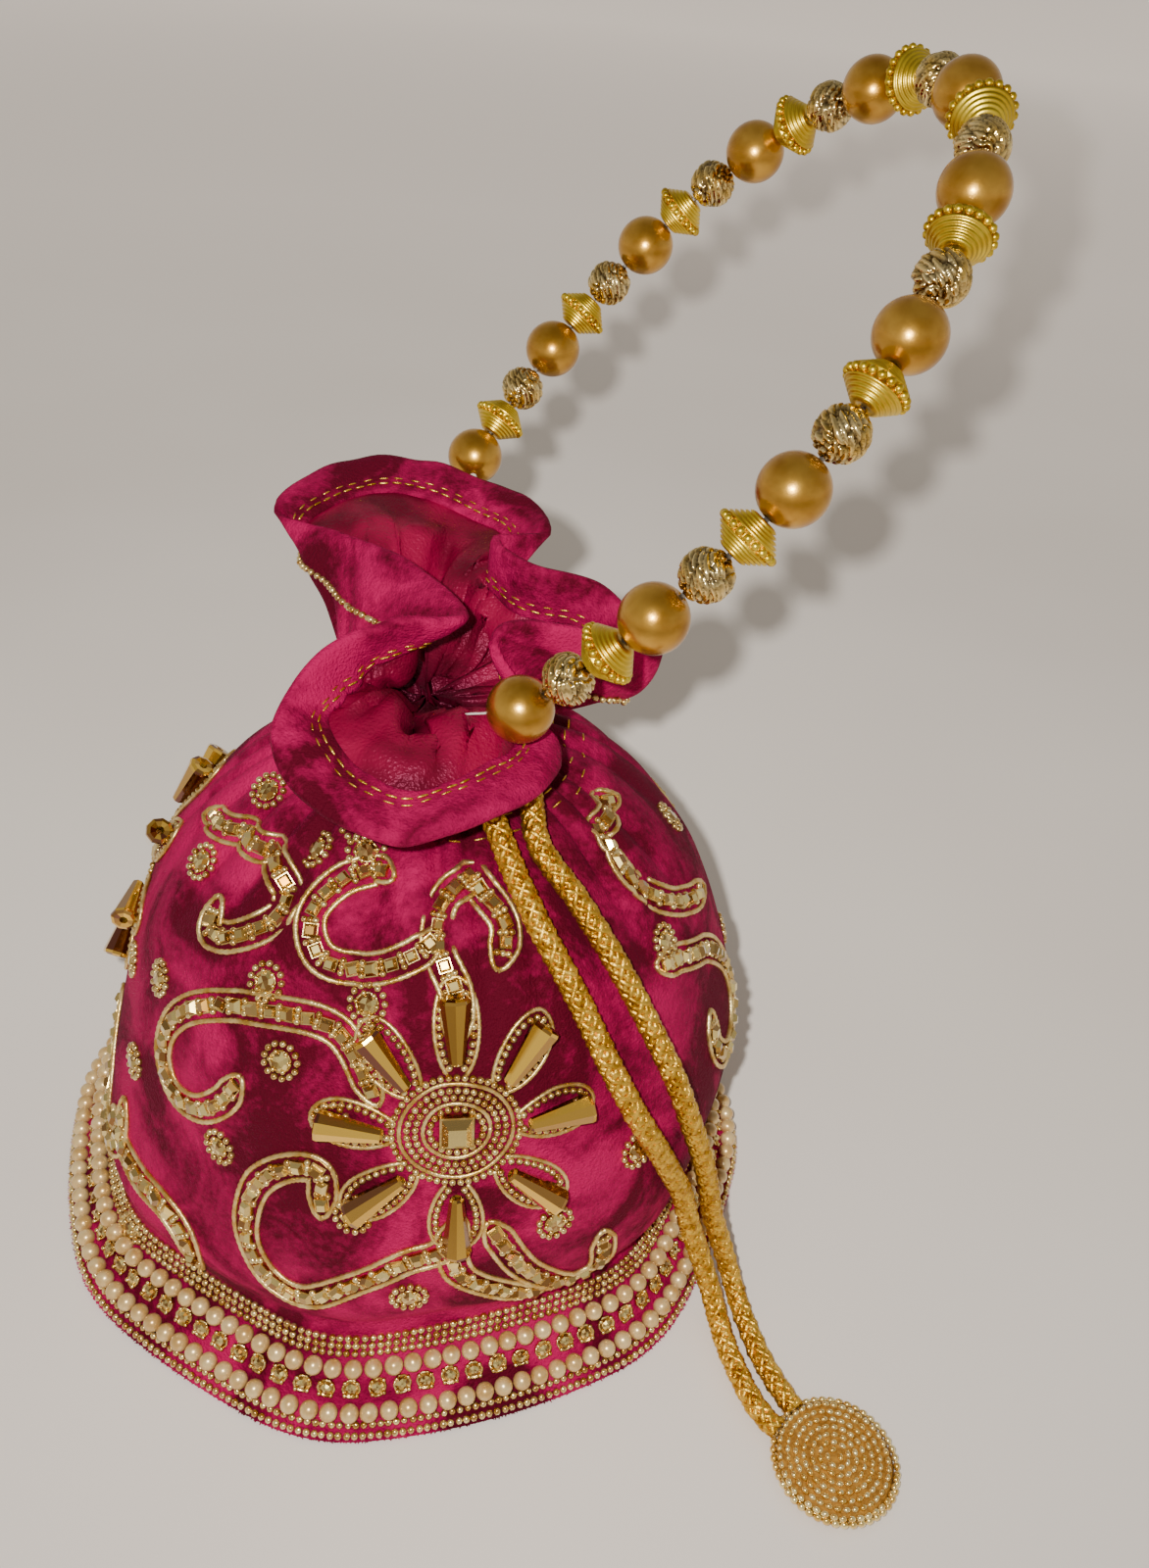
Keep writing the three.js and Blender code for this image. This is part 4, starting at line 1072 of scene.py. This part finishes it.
print("embroidery made")


# Handle
handle = {"pearl": 12.0, "bore": 0.9, "biconeLength": 7.4, "ribs": 5,
          "granules": 20, "granule": 0.78, "granuleRing": 5.3,
          "filigree": 9.6, "leaves": 2.6, "cutWidth": 0.2, "cutDepth": 0.7, "leafDome": 0.4}


def pearlBead():
    half = handle["pearl"] / 2
    inside = handle["bore"] * 0.9
    outline = [[inside, -half * 0.95], [handle["bore"], -half * 0.985]]
    for k in range(1, 18):
        turn = math.radians(-81 + 162 * k / 18)
        outline.append([half * math.cos(turn), half * math.sin(turn)])
    outline += [[handle["bore"], half * 0.985], [inside, half * 0.95], [inside, -half * 0.95]]
    return spun(outline, 40)


def biconeBead():
    # Two stepped cones back to back, with a ring of granules round the middle
    half = handle["biconeLength"] / 2
    outline = [[handle["bore"], -half], [2.0, -half]]
    ribs = handle["ribs"]
    for side in (-1, 1):
        steps = range(ribs) if side < 0 else range(ribs - 1, -1, -1)
        for k in steps:
            share = (k + 0.5) / ribs
            radius = 2.3 + 3.0 * share
            height = side * (half - 0.15 - (half - 0.9) * share)
            groove = radius - 0.1
            outline += [[groove, height - 0.28], [radius + 0.26, height], [groove, height + 0.28]]
    outline += [[2.0, half], [handle["bore"], half], [handle["bore"], -half]]
    places = [Matrix.Translation(way * handle["granuleRing"]) for way in waysRound(handle["granules"])]
    return joined([spun(outline, 40), copiesOf(ball(handle["granule"], 8, 6), places)])


def filigreeBead():
    # A hollow cast bead: domed leaves that lean round the hole, with deep cut lines between them
    half = handle["filigree"] / 2

    def build(shape):
        # Painted shade: a mask that is 1 in the cut lines between the leaves, where shadow falls
        paintedCutShade = shape.verts.layers.float.new("paintedCutShade")
        bmesh.ops.create_icosphere(shape, subdivisions=2, radius=1)
        bmesh.ops.subdivide_edges(shape, edges=shape.edges, cuts=8, use_grid_fill=True)
        for vert in shape.verts:
            way = vert.co.normalized()
            leaning = Matrix.Rotation(1.5 * way.z, 3, "Z") @ way
            spot = Vector((leaning.x, leaning.y, leaning.z * 0.62)) * handle["leaves"]
            near = noise.voronoi(spot)[0]
            cut = max(0.0, 1 - (near[1] - near[0]) / handle["cutWidth"])
            vert.co = way * (half - handle["cutDepth"] * cut**1.5 - handle["leafDome"] * near[0])
            vert[paintedCutShade] = min(1.0, cut)
    return meshFrom(build)


beadShapes = {"pearl": pearlBead(), "filigree": filigreeBead(), "bicone": biconeBead()}
beadFinishes = {"pearl": (copperPearl, "copper_pearl"), "filigree": (mirrorGold, "mirror_gold"),
                "bicone": (yellowGold, "yellow_gold")}
order = ["pearl_bead_01"]
for k in range(1, 11):
    order += [f"filigree_bead_{k:02d}", f"bicone_bead_{k:02d}", f"pearl_bead_{k + 1:02d}"]
centres = [sum(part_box(name), Vector()) / 2 / mm for name in order]
for k, name in enumerate(order):
    kind = name.split("_")[0]
    axis = centres[min(k + 1, len(order) - 1)] - centres[max(k - 1, 0)]
    spin = Matrix.Rotation(random.uniform(0, 6.28), 4, "Z")
    place = seat(centres[k], axis, (0, 0, 1)) @ spin
    finish, slotName = beadFinishes[kind]
    number = name.rsplit("_", 1)[1]
    bead = copiesOf(beadShapes[kind], [place])
    addPiece(f"handle_{kind}_{number}", bead, finish, "handle", [name])
print("handle made")


# Kept parts
keptFinishes = {"base_board": greyCard, "channel_cord": braidThread, "handle_wire": steelWire,
                "front_anchor_thread": whiteThread, "back_anchor_thread": whiteThread}
for name, finish in keptFinishes.items():
    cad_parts[name].data.materials.clear()
    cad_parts[name].data.materials.append(finish)


# Floor and light
studio = {"floor": ("#DCD1C5", "#E4DACE"), "farFloor": "#FAEEE2", "haze": "#FFF1E2", "hazeLevel": 0.36,
          "flash": 13.0, "flashSize": 0.006, "flashAside": -0.014, "flashUp": 0.008,
          "sky": (0.12, 0.62), "seenSky": (0.7, 0.2)}


def seenRays(material):
    # 1 for what the camera sees, or sees mirrored or through glass, and 0 for light on the object
    rays = addNode(material, "LightPath")
    either = addNode(material, "Math", {"operation": "MAXIMUM"},
                     {0: rays.outputs["Is Camera Ray"], 1: rays.outputs["Is Glossy Ray"]})
    return addNode(material, "Math", {"operation": "MAXIMUM"},
                   {0: either, 1: rays.outputs["Is Transmission Ray"]}).outputs["Value"]


def addStudio(facts):
    floorMaterial, shader, place = newMaterial("pale_table")
    tone = addNode(floorMaterial, "TexNoise", {"Scale": 4.0, "Detail": 2.0}, {"Vector": place})
    near = twoColours(floorMaterial, tone, *facts["floor"])
    reach = addNode(floorMaterial, "VectorMath", {"operation": "LENGTH"}, {0: place}).outputs["Value"]
    paling = addNode(floorMaterial, "MapRange", {"From Min": 0.3, "From Max": 1.1}, {"Value": reach})
    colour = addNode(floorMaterial, "Mix", {"data_type": "RGBA", 7: linear(facts["farFloor"])},
                     {"Factor": paling, 6: near})
    # Far off, the table pales as a lit room does, in what is seen and mirrored only
    haze = addNode(floorMaterial, "MapRange",
                   {"From Min": 0.5, "From Max": 3.5, "To Max": facts["hazeLevel"]}, {"Value": reach})
    glow = addNode(floorMaterial, "Math", {"operation": "MULTIPLY"},
                   {0: haze, 1: seenRays(floorMaterial)})
    setShader(floorMaterial, shader,
              {"Roughness": 0.7, "Specular IOR Level": 0.2, "Emission Color": linear(facts["haze"])},
              {"Base Color": colour.outputs[2], "Emission Strength": glow})
    mesh = meshFrom(lambda shape: bmesh.ops.create_grid(shape, x_segments=2, y_segments=2, size=60))
    mesh.transform(Matrix.Translation((0, 0, -0.0002)))
    mesh.materials.append(floorMaterial)
    floor = bpy.data.objects.new("table_top", mesh)
    bpy.context.scene.collection.objects.link(floor)

    # A small lamp beside the camera, evened out so that near things aren't lit more than far ones
    camera = bpy.context.scene.camera
    lampData = bpy.data.lights.new("flash_lamp", "AREA")
    lampData.shape = "DISK"
    lampData.size = facts["flashSize"]
    lampData.energy = facts["flash"]
    lampData.use_nodes = True
    falloff = lampData.node_tree.nodes.new("ShaderNodeLightFalloff")
    falloff.inputs["Strength"].default_value = 1.0
    emission = lampData.node_tree.nodes["Emission"]
    lampData.node_tree.links.new(falloff.outputs["Constant"], emission.inputs["Strength"])
    lamp = bpy.data.objects.new("flash_lamp", lampData)
    lamp.matrix_world = camera.matrix_world @ Matrix.Translation((facts["flashAside"], facts["flashUp"], 0))
    bpy.context.scene.collection.objects.link(lamp)

    world = bpy.data.worlds.new("studio")
    world.use_nodes = True
    sky = world.node_tree.nodes["Background"]
    sky.inputs["Color"].default_value = linear("#F6F1EA")
    way = addNode(world, "TexCoord").outputs["Generated"]
    height = addNode(world, "SeparateXYZ", links={"Vector": way}).outputs["Z"]
    lit = addNode(world, "MapRange", {"To Min": facts["sky"][0], "To Max": facts["sky"][1]},
                  {"Value": height})
    seen = addNode(world, "MapRange", {"To Min": facts["seenSky"][0], "To Max": facts["seenSky"][1]},
                   {"Value": height})
    level = addNode(world, "Mix",
                    links={"Factor": seenRays(world), 2: lit, 3: seen})
    world.node_tree.links.new(level.outputs[0], sky.inputs["Strength"])
    bpy.context.scene.world = world


addStudio(studio)
bpy.context.view_layer.update()
print("scene ready")
